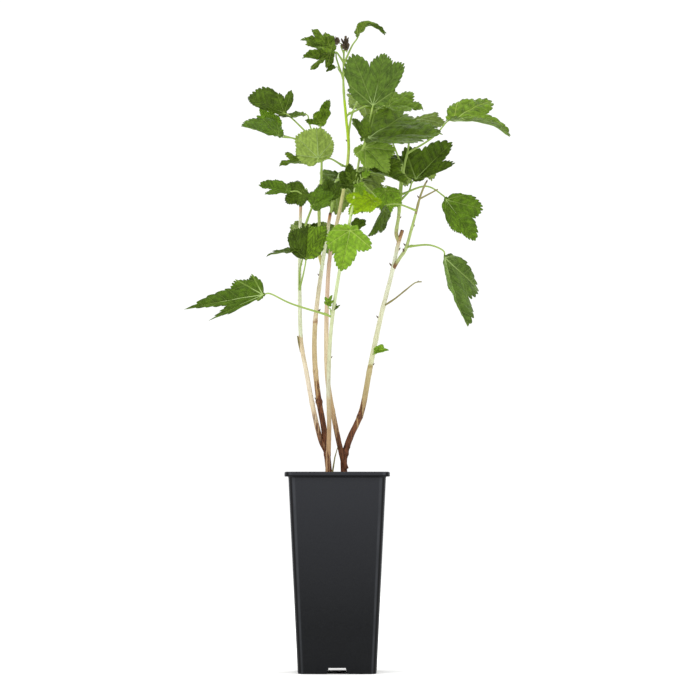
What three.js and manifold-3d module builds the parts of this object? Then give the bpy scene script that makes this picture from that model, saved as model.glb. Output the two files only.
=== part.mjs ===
// A blackcurrant bush in a deep square nursery pot: five canes, their green shoots and leafy sprays.
// Millimetres, +Z up, front towards -Y. The pot stands on z = 0.
import * as THREE from 'three';
import { mergeVertices } from 'three/addons/utils/BufferGeometryUtils.js';
import Module from 'manifold-3d';

const wasm = await Module();
wasm.setup();

// Pot
const potHeight = 211;
const potBottomSide = 82.5;
const potTopSide = 102;
const potRimSide = 110;
const potRimHeight = 5;
const potWall = 1.5;
const potFloor = 2;
const potCornerRadius = 8;
const potFootRounding = 1.5;
const channelHeight = 6.4;
const channelTopWidth = 17.8;
const channelFootWidth = 22.4;
const drainHoleRadius = 5;
const drainHoleSpacing = 26;

// Compost
const soilHeight = 196;
const clearance = 0.3;

// Canes, shoots and petioles
const caneSides = 8;
const shootSides = 6;
const petioleSides = 3;
const petioleSteps = 4;
const petioleRadius = 0.95;
const petioleHeel = 3;
const petioleEnd = 0.8;
const flareGain = 0.55;
const flareHeight = 14;

// Blades, as shares of the midrib's length
const bladeThickness = 0.8;
const bladeThicknessShare = 1 / 85;
const innerRing = 0.5;
const flatBladeUnder = 30;
const rippleShare = 0.035;
const rippleWaves = 5;
const lobePower = 1.15;
// Half of a blade's outline: angle from the midrib in degrees, then reach.
const lobeTurns = [
  { angle: 0, reach: 1 },
  { angle: 22, reach: 0.74, sinus: true },
  { angle: 43, reach: 0.84 },
  { angle: 61, reach: 0.58, sinus: true },
  { angle: 76, reach: 0.56 },
  { angle: 115, reach: 0.21 },
  { angle: 180, reach: 0.06 },
];
const lastLobe = 76;

// Sprays grown by rule
const phyllotaxis = 144;
const ruleSideTurn = 62;
const rulePetiole = { least: 20, most: 32 };
const ruleBlade = { least: 38, most: 50 };

const canePale = new THREE.MeshStandardMaterial({ color: 0xcfd6a4, roughness: 0.6, metalness: 0 });
const caneTan = new THREE.MeshStandardMaterial({ color: 0xcfb88c, roughness: 0.7, metalness: 0 });
const caneBrown = new THREE.MeshStandardMaterial({ color: 0x8a6a48, roughness: 0.75, metalness: 0 });
const leafGreen = new THREE.MeshStandardMaterial({ color: 0x456f24, roughness: 0.55, metalness: 0 });
const potBlack = new THREE.MeshStandardMaterial({ color: 0x2f3133, roughness: 0.5, metalness: 0 });
const compostBrown = new THREE.MeshStandardMaterial({ color: 0x2c221a, roughness: 1, metalness: 0 });

// Seeded numbers from 0 to 1, always the same for the same seed.
function seeded(seed) {
  let state = seed >>> 0;
  return () => {
    state = (Math.imul(state, 1664525) + 1013904223) >>> 0;
    return state / 4294967296;
  };
}

function toSolid(geometry) {
  const bare = geometry.clone();
  bare.deleteAttribute('normal');
  bare.deleteAttribute('uv');
  const merged = mergeVertices(bare, 1e-5);
  return new wasm.Manifold(
    new wasm.Mesh({
      numProp: 3,
      vertProperties: new Float32Array(merged.attributes.position.array),
      triVerts: new Uint32Array(merged.index.array),
    }),
  );
}

function toGeometry(solid) {
  const mesh = solid.getMesh();
  const geometry = new THREE.BufferGeometry();
  geometry.setAttribute('position', new THREE.Float32BufferAttribute(mesh.vertProperties, 3));
  geometry.setIndex(Array.from(mesh.triVerts));
  geometry.computeVertexNormals();
  return geometry;
}

// The body of a solid without the scraps that a cut left loose.
function largestBody(solid) {
  const bodies = solid.decompose();
  return bodies.reduce((best, body) => (body.volume() > best.volume() ? body : best));
}

// A closed skin through rings of equal count, each counter-clockwise about the way the rings run.
function loft(rings) {
  const sides = rings[0].length;
  const positions = [];
  const index = [];
  for (const ring of rings) {
    for (const point of ring) positions.push(point.x, point.y, point.z);
  }
  for (let row = 0; row + 1 < rings.length; row += 1) {
    for (let side = 0; side < sides; side += 1) {
      const here = row * sides + side;
      const next = row * sides + ((side + 1) % sides);
      index.push(here, next, next + sides, here, next + sides, here + sides);
    }
  }
  const ends = [rings[0], rings[rings.length - 1]];
  ends.forEach((ring, end) => {
    const middle = new THREE.Vector3();
    for (const point of ring) middle.addScaledVector(point, 1 / sides);
    const centre = positions.length / 3;
    positions.push(middle.x, middle.y, middle.z);
    const first = end === 0 ? 0 : (rings.length - 1) * sides;
    for (let side = 0; side < sides; side += 1) {
      const here = first + side;
      const next = first + ((side + 1) % sides);
      if (end === 0) index.push(centre, next, here);
      else index.push(centre, here, next);
    }
  });
  const geometry = new THREE.BufferGeometry();
  geometry.setAttribute('position', new THREE.Float32BufferAttribute(positions, 3));
  geometry.setIndex(index);
  return geometry;
}

function roundedSquare(side, radius, z) {
  const cornerSteps = 3;
  const ring = [];
  for (let corner = 0; corner < 4; corner += 1) {
    const turn = (corner * Math.PI) / 2;
    const middle = new THREE.Vector3(side / 2 - radius, side / 2 - radius, z);
    for (let step = 0; step <= cornerSteps; step += 1) {
      const angle = (step / cornerSteps) * (Math.PI / 2);
      const point = new THREE.Vector3(radius * Math.cos(angle), radius * Math.sin(angle), 0).add(middle);
      ring.push(point.applyAxisAngle(new THREE.Vector3(0, 0, 1), turn));
    }
  }
  return ring;
}

// Outer side of the pot's wall at a height.
function potSideAt(z) {
  return potBottomSide + ((potTopSide - potBottomSide) * z) / (potHeight - potRimHeight);
}

function makePot() {
  const rimFoot = potHeight - potRimHeight;
  const floorTop = channelHeight + potFloor;
  const innerRadius = potCornerRadius - potWall;
  const shell = toSolid(
    loft([
      roundedSquare(potBottomSide - 2 * potFootRounding, potCornerRadius - potFootRounding, 0),
      roundedSquare(potSideAt(potFootRounding), potCornerRadius, potFootRounding),
      roundedSquare(potTopSide, potCornerRadius, rimFoot),
      roundedSquare(potRimSide, potCornerRadius + 2, rimFoot),
      roundedSquare(potRimSide, potCornerRadius + 2, potHeight),
      roundedSquare(potTopSide - 2 * potWall, innerRadius, potHeight),
      roundedSquare(potSideAt(floorTop) - 2 * potWall, innerRadius, floorTop),
    ]),
  );
  const channelRing = (width, z) => [
    new THREE.Vector3(-width / 2, -potTopSide, z),
    new THREE.Vector3(width / 2, -potTopSide, z),
    new THREE.Vector3(width / 2, potTopSide, z),
    new THREE.Vector3(-width / 2, potTopSide, z),
  ];
  const channelFoot = channelRing(channelFootWidth, -1);
  const channel = toSolid(loft([channelFoot, channelRing(channelTopWidth, channelHeight)]));
  let pot = shell.subtract(channel).subtract(channel.rotate([0, 0, 90]));
  const holeSpots = [
    [0, 0],
    [drainHoleSpacing, 0],
    [-drainHoleSpacing, 0],
    [0, drainHoleSpacing],
    [0, -drainHoleSpacing],
  ];
  for (const [x, y] of holeSpots) {
    const hole = new THREE.CylinderGeometry(drainHoleRadius, drainHoleRadius, 4 * potFloor, 12);
    hole.rotateX(Math.PI / 2);
    hole.translate(x, y, channelHeight + potFloor / 2);
    pot = pot.subtract(toSolid(hole));
  }
  return toGeometry(pot);
}

function makeCompost() {
  const foot = channelHeight + potFloor + clearance;
  const radius = potCornerRadius - potWall;
  const inset = 2 * (potWall + clearance);
  return loft([
    roundedSquare(potSideAt(foot) - inset, radius, foot),
    roundedSquare(potSideAt(soilHeight) - inset, radius, soilHeight),
  ]);
}

// A tapering round limb through hand-set points; grow makes its clearance copy.
function limb({ route, radii, sides = caneSides, steps = 12, flare = false }, grow = 0) {
  const points = route.map((place) => new THREE.Vector3(...place));
  const curve = new THREE.CatmullRomCurve3(points, false, 'catmullrom', 0.5);
  const frames = curve.computeFrenetFrames(steps);
  const foot = points[0].z;
  const rings = [];
  for (let step = 0; step <= steps; step += 1) {
    const share = step / steps;
    const centre = curve.getPointAt(share);
    let radius = radii[0] + (radii[1] - radii[0]) * share + grow;
    if (flare) radius *= 1 + flareGain * Math.max(0, 1 - (centre.z - foot) / flareHeight) ** 2;
    if (step === 0) centre.addScaledVector(frames.tangents[0], -grow);
    if (step === steps) centre.addScaledVector(frames.tangents[steps], grow);
    const ring = [];
    for (let side = 0; side < sides; side += 1) {
      const angle = (side / sides) * Math.PI * 2;
      const point = centre
        .clone()
        .addScaledVector(frames.normals[step], radius * Math.cos(angle))
        .addScaledVector(frames.binormals[step], radius * Math.sin(angle));
      if (flare && step === 0) point.z = foot;
      ring.push(point);
    }
    rings.push(ring);
  }
  return toSolid(loft(rings));
}

// A leaf's fold or spread on one side: both are a number, or a pair for the two sides.
function onSide(value, angle) {
  return Array.isArray(value) ? value[angle < 0 ? 1 : 0] : value;
}

// The turns of one side of a blade's outline: spread below 1 swings its lobes forward, and lobing
// deepens the notches between them. A leaf's own lobes give one side's reaches from the first notch.
function outlineOf(leaf, way) {
  const spread = onSide(leaf.spread, way);
  const lobes = leaf.lobes[way < 0 ? 1 : 0];
  return lobeTurns.map(({ angle, reach, sinus }, turn) => ({
    angle: angle <= lastLobe ? angle * spread
      : 180 - ((180 - angle) * (180 - lastLobe * spread)) / (180 - lastLobe),
    reach: lobes?.[turn - 1] ?? (sinus ? reach * (1 - leaf.lobing) : reach),
  }));
}

// How far a blade reaches from its petiole's end, as a share of the midrib, at an angle in degrees.
function lobeReach(leaf, angle) {
  const away = Math.abs(angle);
  const turns = outlineOf(leaf, angle);
  const upper = turns.findIndex((turn) => turn.angle >= away - 1e-6);
  if (upper === 0) return turns[0].reach;
  const low = turns[upper - 1];
  const high = turns[upper];
  let share = (away - low.angle) / (high.angle - low.angle);
  share = low.reach > high.reach ? share ** lobePower : 1 - (1 - share) ** lobePower;
  return low.reach + (high.reach - low.reach) * share;
}

// A point of the blade's middle surface: folded along the midrib, then curled down along it.
function bladePoint(leaf, axes, reach, angle) {
  const out = leaf.size * reach;
  const along = out * Math.cos(angle);
  const across = out * Math.sin(angle);
  const fold = THREE.MathUtils.degToRad(onSide(leaf.fold, across));
  const curl = THREE.MathUtils.degToRad(leaf.curl) / leaf.size + 1e-6;
  const ripple = rippleShare * leaf.size * reach * reach * Math.sin(rippleWaves * angle + leaf.base[0]);
  const lift = Math.abs(across) * Math.sin(fold) + ripple;
  const bend = curl * along;
  const forward = Math.sin(bend) / curl + lift * Math.sin(bend);
  const rise = (Math.cos(bend) - 1) / curl + lift * Math.cos(bend);
  return new THREE.Vector3(...leaf.base)
    .addScaledVector(axes.aim, forward)
    .addScaledVector(axes.side, across * Math.cos(fold))
    .addScaledVector(axes.face, rise);
}

function leafAxes(leaf) {
  const aim = new THREE.Vector3(...leaf.aim).normalize();
  const side = new THREE.Vector3(...leaf.face).cross(aim).normalize();
  const face = aim.clone().cross(side);
  return { aim, side, face };
}

// A thin lobed blade, with one ring of facets on each side where it is small and otherwise two.
function bladeSolid(leaf) {
  const axes = leafAxes(leaf);
  const left = outlineOf(leaf, 1).map((turn) => turn.angle);
  const right = outlineOf(leaf, -1).map((turn) => -turn.angle);
  const angles = [...left, ...right.slice(1, -1).reverse()];
  const spokes = angles.length;
  const ringShares = leaf.size < flatBladeUnder ? [1] : [innerRing, 1];
  const thick = Math.max(bladeThickness, leaf.size * bladeThicknessShare);
  const normalAt = (reach, angle) => {
    const nudge = 0.02;
    const outer = bladePoint(leaf, axes, reach + nudge, angle);
    const inner = bladePoint(leaf, axes, reach - nudge, angle);
    const left = bladePoint(leaf, axes, reach, angle + nudge);
    const right = bladePoint(leaf, axes, reach, angle - nudge);
    return outer.sub(inner).cross(left.sub(right)).normalize();
  };
  const layers = [1, -1].map((way) => {
    const heart = bladePoint(leaf, axes, 0, 0).addScaledVector(axes.face, (way * thick) / 2);
    const points = [heart];
    for (const ring of ringShares) {
      for (const degrees of angles) {
        const angle = THREE.MathUtils.degToRad(degrees);
        const reach = ring * lobeReach(leaf, degrees);
        const point = bladePoint(leaf, axes, reach, angle);
        points.push(point.addScaledVector(normalAt(reach, angle), (way * thick) / 2));
      }
    }
    return points;
  });
  const positions = layers.flat().flatMap((point) => [point.x, point.y, point.z]);
  const perLayer = 1 + ringShares.length * spokes;
  const edge = (ringShares.length - 1) * spokes;
  const index = [];
  for (let spoke = 0; spoke < spokes; spoke += 1) {
    const inner = 1 + spoke;
    const innerNext = 1 + ((spoke + 1) % spokes);
    const outer = inner + edge;
    const outerNext = innerNext + edge;
    const low = [0, inner, innerNext, outer, outerNext].map((corner) => corner + perLayer);
    index.push(0, inner, innerNext, low[0], low[2], low[1]);
    if (edge > 0) {
      index.push(inner, outer, outerNext, inner, outerNext, innerNext);
      index.push(low[1], low[4], low[3], low[1], low[2], low[4]);
    }
    index.push(outer, low[3], low[4], outer, low[4], outerNext);
  }
  const geometry = new THREE.BufferGeometry();
  geometry.setAttribute('position', new THREE.Float32BufferAttribute(positions, 3));
  geometry.setIndex(index);
  return toSolid(geometry);
}

// A petiole from its stem, arched up by leaf.arch, that enters the blade at its notch.
function petioleSolid(leaf, start) {
  const base = new THREE.Vector3(...leaf.base);
  const middle = start.clone().lerp(base, 0.55).add(new THREE.Vector3(0, 0, leaf.arch));
  const { aim } = leafAxes(leaf);
  const notch = leaf.size * lobeReach(leaf, 180);
  const heel = base.clone().addScaledVector(aim, -notch - petioleHeel);
  const end = base.clone().addScaledVector(aim, -petioleEnd);
  return limb({
    route: [start.toArray(), middle.toArray(), heel.toArray(), end.toArray()],
    radii: [petioleRadius * 1.15, petioleRadius * 0.9],
    sides: petioleSides,
    steps: petioleSteps,
  });
}

function alongRoute(route, share) {
  const points = route.map((place) => new THREE.Vector3(...place));
  return new THREE.CatmullRomCurve3(points, false, 'catmullrom', 0.5).getPoint(share);
}

// One leaf: where it leaves the stem (0 to 1), the blade's foot, the way the midrib points, the way
// the upper side faces, the midrib's length, the fold and curl in degrees, the petiole's arch, and
// the outline's spread, lobing and own lobes. A pair of folds, spreads or lobes is for the sides at
// face x aim and against it.
function leaf(on, base, aim, face, size, fold, curl, arch = 4, spread = 1, lobing = 0, lobes = [null, null]) {
  return { on, base, aim, face, size, fold, curl, arch, spread, lobing, lobes };
}

// Leaves set by rule round a stem that runs into the crown's depth: each a turn further, within
// ruleSideTurn of the way out, on a petiole and blade of seeded length.
function ruleLeaves({ seed, count, route, out, space }) {
  const random = seeded(seed);
  const leaves = [];
  for (let number = 0; number < count; number += 1) {
    const on = 0.45 + (0.55 * number) / Math.max(1, count - 1);
    const start = alongRoute(route, on);
    const swing = Math.sin(THREE.MathUtils.degToRad(phyllotaxis * number + 40)) * ruleSideTurn;
    const heading = THREE.MathUtils.degToRad(out + swing);
    const climb = 0.1 + 0.35 * random();
    const petiole = rulePetiole.least + (rulePetiole.most - rulePetiole.least) * random();
    const size = ruleBlade.least + (ruleBlade.most - ruleBlade.least) * random();
    const away = new THREE.Vector3(Math.cos(heading), Math.sin(heading), climb).normalize();
    const base = start.clone().addScaledVector(away, petiole);
    const droop = -0.25 - 0.45 * random();
    const aim = [away.x, away.y, droop];
    const face = [0.35 * away.x, 0.35 * away.y, 1];
    const grown = leaf(on, base.toArray(), aim, face, size, 14 + 16 * random(), 20 + 25 * random(), 5);
    if (fits(grown, space)) leaves.push(grown);
  }
  return leaves;
}

// Whether a blade's tips all lie inside an ellipsoid of room.
function fits(grown, space) {
  const axes = leafAxes(grown);
  return [0, 43, -43, 76, -76].every((degrees) => {
    const tip = bladePoint(grown, axes, lobeReach(grown, degrees), THREE.MathUtils.degToRad(degrees));
    const away = tip.sub(new THREE.Vector3(...space.centre)).divide(new THREE.Vector3(...space.radii));
    return away.length() < 1;
  });
}

// Canes and shoots, foot first. A limb that names a parent is cut clear of it.
const limbs = {
  cane_brown: {
    route: [[-7, 3, soilHeight + clearance], [-9, 4, 212], [-14, 6, 255], [-20, 9, 290], [-24, 14, 330],
      [-23.6, 19, 368], [-19, 26, 410], [-13, 33, 452], [-7.5, 39, 487]],
    radii: [3.5, 1.7], steps: 16, flare: true, material: caneBrown,
  },
  cane_left: {
    parent: 'cane_brown',
    route: [[-11.5, 6, 233], [-18, 4, 246], [-26, 6, 280], [-33, 10, 318], [-38.5, 14, 350],
      [-40, 18, 400], [-40, 22, 450], [-39, 25, 495]],
    radii: [2.7, 1.6], steps: 14, material: caneTan,
  },
  cane_front: {
    route: [[-11, -10, soilHeight + clearance], [-10, -11, 214], [-8.5, -14, 260], [-9.3, -20, 300],
      [-6.5, -30, 360], [2.4, -38, 421], [12.5, -42, 470], [19, -44, 510], [23, -46, 540]],
    radii: [2.9, 1.2], steps: 16, flare: true, material: canePale,
  },
  cane_right: {
    route: [[9, 2, soilHeight + clearance], [7, 2, 212], [7.5, 2, 228], [14, 3, 248], [26, 5, 276],
      [35, 7, 323], [46, 9, 375], [57, 11, 418], [64, 12, 450], [69, 13, 467]],
    radii: [3.6, 1.9], steps: 16, flare: true, material: caneBrown,
  },
  cane_centre: {
    parent: 'cane_right',
    route: [[7.5, 2, 226], [2.5, -1, 240], [-2, -1.5, 258], [-9.4, -2, 301], [-11.6, -3, 345],
      [-10.5, -4, 400], [-7, -6, 444], [2, -7, 484], [8.5, -6, 520], [12, -4, 552], [9.6, -3, 582],
      [7.5, -3, 604]],
    radii: [2.9, 1.4], steps: 20, material: caneTan,
  },
  shoot_upright: {
    parent: 'cane_brown',
    route: [[-16, 30, 431], [-19.5, 36, 445], [-19.3, 39, 470], [-19.5, 41, 495], [-17.5, 43, 522]],
    radii: [1.9, 1.5], sides: shootSides, steps: 8, material: canePale,
  },
  shoot_right: {
    parent: 'cane_right',
    route: [[65.5, 12.5, 455], [62.5, 14.5, 464], [64.8, 16, 480], [66.6, 17, 496]],
    radii: [2, 1.7], sides: shootSides, steps: 6, material: canePale,
  },
  shoot_outer: {
    parent: 'cane_right',
    route: [[59.5, 11.5, 427], [66, 6, 437], [72.5, 1, 447], [78, -4, 466], [83, -8, 484]],
    radii: [1.9, 1.4], sides: shootSides, steps: 8, material: canePale,
  },
};

// Sprays, each a stem of its own with leaves fused to it. A spray that names a tip goes on from that
// limb's flat end; one that names a parent is cut clear of it.
const sprays = {
  leaf_low_left: {
    parent: 'cane_front',
    route: [[-5.5, -31.5, 373], [-14, -34, 377]],
    radii: [1.2, 1.1],
    leaves: [leaf(0.6, [-77.6, -46, 395.8], [-0.98, -0.12, -0.15], [0, -0.9, 0.43], 84, 10, 8, 0,
      [0.43, 0.95], 0, [[0.49, 0.77, 0.5, 0.15, 0.06], [0.42, 0.4, 0.28, 0.29, 0.06]])],
  },
  leaf_left: {
    parent: 'cane_left',
    route: [[-40, 18.5, 402], [-40, 14, 408]],
    radii: [1.2, 1.1],
    leaves: [
      leaf(0.5, [-33, -20, 435], [0.08, 0.04, 0.97], [0.1, -0.97, 0.1], 36, [12, 10], 12, -3, [0.75, 0.62],
        0, [[0.93, 0.93, 0.85, 0.66, 0.05], [1, 1.12, 0.92, 0.7, 0.05]]),
      leaf(0.5, [-39, -14, 444.5], [-0.99, -0.1, -0.1], [0, -0.22, 0.97], 37, 4, 6, -2, 0.5),
    ],
  },
  spray_left: {
    parent: 'cane_left',
    route: [[-39.5, 23, 450], [-34, 16, 472], [-26, 8, 493], [-19, 4, 510]],
    radii: [1.4, 1],
    leaves: [
      leaf(0.68, [-53, -2, 508.3], [-0.96, -0.15, 0.25], [0.05, -0.8, 0.6], 31, 14, 14, 5, [0.82, 1], 0,
        [[0.58, 0.9, 0.35, 0.25], [0.6, 0.42, 0.3, 0.25]]),
      leaf(0.68, [-36, 4, 508.5], [-0.75, -0.1, -0.6], [0.1, -0.9, 0.4], 22, 12, 14, 4, 1.15, 0.3),
      leaf(0.62, [-25, -6, 493], [0.75, -0.2, 0.45], [-0.2, -0.9, 0.4], 25, 20, 20, 2),
      leaf(1, [-6, 2, 500], [-0.2, 0.25, 0.95], [0, -0.9, 0.3], 24, 25, 20, 3),
    ],
  },
  spray_upper_left: {
    tip: 'shoot_upright',
    route: [[-17.3, 43.3, 522.3], [-17, 43, 545], [-19, 43, 565], [-18, 42, 580]],
    radii: [1.4, 0.9],
    leaves: [
      leaf(0.3, [-40, 30, 540], [-1, -0.1, 0.06], [0, -0.6, 0.8], 23, 38, 30, 3, 1, 0.35),
      leaf(0.55, [-57, 38, 593.8], [-0.9, -0.05, 0.44], [0.1, -0.95, 0.3], 43, 8, 12, 2, [0.4, 1.08], 0,
        [[0.9, 0.62, 0.3, 0.2, 0.08], [0.88, 0.55, 0.4, 0.64, 0.08]]),
      leaf(0.55, [-36.5, 42, 591.5], [-0.97, 0.1, 0.05], [0, -0.35, 0.93], 21, 6, 8, 1, 0.6),
      leaf(0.4, [-62.5, 24, 568.6], [-0.955, -0.1, 0.297], [0, -0.5, 0.87], 41.5, 14, 10, 5, [0.5, 1], 0,
        [[0.86, 0.58, 0.38, 0.28], [0.95, 0.68, 0.68, 0.52]]),
      leaf(1, [-18.5, 34, 583.4], [0.4, -0.3, 0.92], [0.2, -0.9, 0.2], 27, 20, 16, 0, [1.3, 0.6], 0,
        [[0.5, 0.5, 0.35, 0.66], [0.65, 0.6, 0.4, 0.3]]),
    ],
  },
  leaf_centre_left: {
    parent: 'cane_centre',
    route: [[10.5, -5.5, 533], [4, -14, 534]],
    radii: [1.1, 1],
    leaves: [leaf(0.7, [-20, -26, 538], [-0.05, -0.3, 0.95], [0, 0.95, 0.3], 35, 24, 10, 3, 1.1, -0.2)],
  },
  spray_top: {
    tip: 'cane_centre',
    route: [[7.4, -3, 604.3], [6.4, -3, 623], [6.6, -3, 640], [7, -4, 656]],
    radii: [1.4, 0.9],
    leaves: [
      leaf(0.75, [-6, -14, 656], [-0.85, -0.2, 0.48], [0.1, -0.75, 0.6], 36, 24, 30, 3, 0.62, 0.1),
      leaf(0.4, [-6.5, 2, 654], [-0.9, 0.1, -0.05], [0, -0.9, 0.4], 33, 12, 10, 6, 1, 0,
        [[0.4, 0.9, 0.35, 0.62], [0.5, 0.7, 0.4, 0.3]]),
      leaf(0.95, [1, -3, 667], [-0.9, 0, 0.4], [0.2, -0.8, 0.5], 13, 30, 20, 1),
      leaf(1, [9, -5, 660], [0.75, -0.1, 0.6], [-0.3, -0.8, 0.5], 14, 35, 20, 0),
      leaf(0.7, [22.4, -8, 672.5], [0.4, -0.1, 0.9], [-0.8, -0.42, 0.35], 38, [14, 20], 138, 2, 0.75, 0.1,
        [[0.6, 0.5, 0.38, 0.32, 0.12], [0.6, 0.5, 0.38, 0.32, 0.12]]),
      leaf(0.45, [-3, -8, 638], [-0.85, -0.1, -0.3], [0, -0.6, 0.8], 10, 20, 20, 2),
    ],
  },
  leaf_leader_right: {
    parent: 'cane_centre',
    route: [[9, -3, 586], [14, -4, 591]],
    radii: [1.1, 1],
    leaves: [leaf(0.7, [54.6, -30, 595.5], [0.98, -0.1, 0.02], [-0.1, -0.55, 0.8], 37, 18, 20, 5)],
  },
  spray_front_top: {
    tip: 'cane_front',
    route: [[23.1, -46.3, 540.3], [27, -48, 552], [30, -50, 562]],
    radii: [1.2, 1],
    leaves: [
      leaf(1, [37.3, -60, 593], [0.22, -0.2, 0.955], [0, -0.97, -0.2], 56, 6, 8, 0, [0.81, 0.56], 0,
        [[0.78, 1.04, 0.92, 0.62, 0.05], [0.9, 0.98, 0.72, 0.42, 0.05]]),
      leaf(0.85, [26.5, -46, 561.5], [-0.42, 0.1, 0.9], [0.5, -0.7, 0.4], 23, 35, 20, 0),
      leaf(0.4, [32.8, -26, 561.5], [0.99, 0.04, 0.11], [0, -0.5, 0.87], 79, [10, 14], 10, 2, 1, 0,
        [[0.8, 0.8, 0.74, 0.56], [0.78, 0.75, 0.6, 0.4]]),
    ],
  },
  spray_right: {
    tip: 'shoot_right',
    route: [[66.6, 17.1, 496.3], [68, 18, 512], [71, 19, 535], [75, 21, 553], [78, 24, 574]],
    radii: [1.6, 1],
    leaves: [
      leaf(0.04, [83.5, 24, 522.5], [0.7, 0.1, 0.71], [0.15, -0.93, 0.3], 56, [10, 16], 8, -3, [1.5, 0.58],
        0, [[0.58, 0.64, 0.3, 0.2, 0.07], [0.64, 0.81, 0.3, 0.18, 0.07]]),
      leaf(0.15, [115.3, 8, 499], [0.585, -0.15, -0.81], [0.25, -0.92, 0.3], 54, [12, 8], 8, 12,
        [0.95, 0.55], 0, [[0.67, 0.75, 0.62, 0.38, 0.06], [0.77, 0.7, 0.56, 0.32, 0.05]]),
      leaf(0.7, [124, 26, 584.7], [0.99, -0.05, 0.1], [0, -0.55, 0.84], 66, [11, 32], 46, -2, [1.05, 1], 0,
        [[0.58, 0.86, 0.6, 0.48], null]),
      leaf(0.2, [51, 4, 509], [0.05, -0.25, -0.97], [0, -0.95, 0.2], 29, 8, 8, 3),
      leaf(0.45, [44, 22, 598], [0.35, -0.4, 0.6], [0, 0.75, 0.66], 32, 10, 10, 0, [1, 1.35], 0,
        [null, [0.74, 0.5, 0.5, 0.72]]),
      leaf(1, [84, 50, 588], [0.35, 0.9, -0.2], [0.1, 0.3, 0.95], 44, 18, 30, 4),
    ],
  },
  leaf_right_hanging: {
    parent: 'shoot_outer',
    route: [[73.5, 0.5, 448], [79, -3, 450]],
    radii: [1.2, 1.1],
    leaves: [leaf(0.6, [113.2, -12, 436.5], [0.2, 0.05, -0.97], [0.35, -0.93, 0.1], 80, [-30, 80], -35, 8,
      [1.2, 0.8], 0, [[0.64, 0.72, 0.48, 0.22, 0.04], [0.62, 0.6, 0.45, 0.24, 0.05]])],
  },
  spray_outer: {
    tip: 'shoot_outer',
    route: [[83.1, -8.3, 484.3], [86.5, -10, 498], [90, -12, 508], [93.5, -12, 516]],
    radii: [1.4, 0.9],
    twigs: [{ on: 0.35, end: [106, -16, 508.5] }],
    leaves: [leaf(0.05, [49.5, -20, 487], [-0.45, -0.1, -0.9], [0.75, -0.6, 0.1], 34, [-15, 40], 12, 6)],
  },
  leaf_cane_right: {
    parent: 'cane_right',
    route: [[38, 7.5, 338], [41, 0, 339]],
    radii: [1, 0.9],
    leaves: [leaf(0.8, [42, -2, 338], [0.95, -0.1, 0.3], [-0.2, -0.7, 0.7], 14, 15, 15, 0)],
  },
  twig_right: {
    parent: 'cane_right',
    route: [[48.5, 9.5, 386], [61, 3, 394], [73, -2, 403.5], [82, -5, 410.3], [89, -6, 411.5]],
    radii: [1.2, 0.7],
    leaves: [],
  },
  spray_centre: {
    parent: 'cane_centre',
    route: [[8.5, -6.5, 519], [16, -10, 523], [28, -12, 532], [35, -12, 540]],
    radii: [1.3, 0.9],
    leaves: [
      leaf(0.9, [28.6, -8.3, 553.2], [0.62, -0.35, -0.6], [0.1, -0.75, 0.65], 40, 16, 18, 4),
      leaf(0.7, [38, -10, 527], [0.92, -0.1, -0.2], [0, -0.6, 0.8], 38, 34, 20, 2),
      leaf(0.2, [11, -18, 512], [0.1, -0.35, 0.93], [0.1, -0.9, -0.2], 24, 36, 20, 0),
      leaf(0.3, [37, -26, 497.6], [-0.72, -0.5, -0.45], [-0.1, -0.7, 0.7], 34, 14, 16, 5),
    ],
  },
  leaf_front: {
    parent: 'cane_front',
    route: [[12, -42, 468], [12.5, -47, 470]],
    radii: [1.2, 1.1],
    leaves: [leaf(0.5, [13.4, -56, 462.5], [-0.2, -0.35, -0.9], [0, -0.93, 0.38], 46, [12, 20], 14, 2,
      [1.35, 0.95], 0, [[0.56, 0.7, 0.33, 0.2], [0.72, 0.69, 0.6, 0.45]])],
  },
  leaf_front_dark: {
    parent: 'cane_front',
    route: [[11.5, -41.7, 464], [17, -38, 466]],
    radii: [1, 0.9],
    leaves: [leaf(0.7, [19, -36, 466], [0.7, 0.2, 0.65], [-0.2, -0.8, 0.5], 15, 25, 15, 0)],
  },
  spray_back_left: {
    parent: 'cane_left',
    route: [[-40, 22.5, 446], [-36, 34, 456], [-31, 50, 465], [-29, 64, 470]],
    radii: [1.4, 1],
    rule: { seed: 2028, count: 12, out: 92, space: { centre: [-28, 84, 462], radii: [37, 88, 27] } },
  },
  spray_back_middle: {
    tip: 'cane_brown',
    route: [[-7.1, 39.7, 487.6], [-5, 46, 500], [-4, 62, 516], [0, 78, 526]],
    radii: [1.5, 1],
    rule: { seed: 1043, count: 12, out: 88, space: { centre: [8, 100, 520], radii: [48, 70, 40] } },
  },
  spray_back_right: {
    parent: 'shoot_right',
    route: [[65, 16, 484], [66, 30, 504], [68, 46, 526], [71, 60, 544]],
    radii: [1.4, 1],
    rule: { seed: 3396, count: 12, out: 90, space: { centre: [76, 92, 550], radii: [46, 78, 36] } },
  },
  spray_back_top: {
    parent: 'cane_centre',
    route: [[12, -4, 553], [12.5, 12, 574], [17, 28, 596], [26, 44, 614]],
    radii: [1.3, 0.9],
    rule: { seed: 3396, count: 12, out: 80, space: { centre: [40, 72, 622], radii: [38, 74, 36] } },
  },
};

function makeSpray(spray) {
  const leaves = spray.rule ? ruleLeaves({ ...spray.rule, route: spray.route }) : spray.leaves;
  const steps = Math.max(2, 2 * (spray.route.length - 1));
  let solid = limb({ route: spray.route, radii: spray.radii, sides: 5, steps });
  for (const twig of spray.twigs ?? []) {
    const start = alongRoute(spray.route, twig.on).toArray();
    solid = solid.add(limb({ route: [start, twig.end], radii: [1, 0.8], sides: 5, steps: 2 }));
  }
  for (const one of leaves) {
    solid = solid.add(petioleSolid(one, alongRoute(spray.route, one.on))).add(bladeSolid(one));
  }
  if (spray.parent) solid = solid.subtract(limb(limbs[spray.parent], clearance));
  return toGeometry(largestBody(solid));
}

const plant = new THREE.Group();

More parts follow.
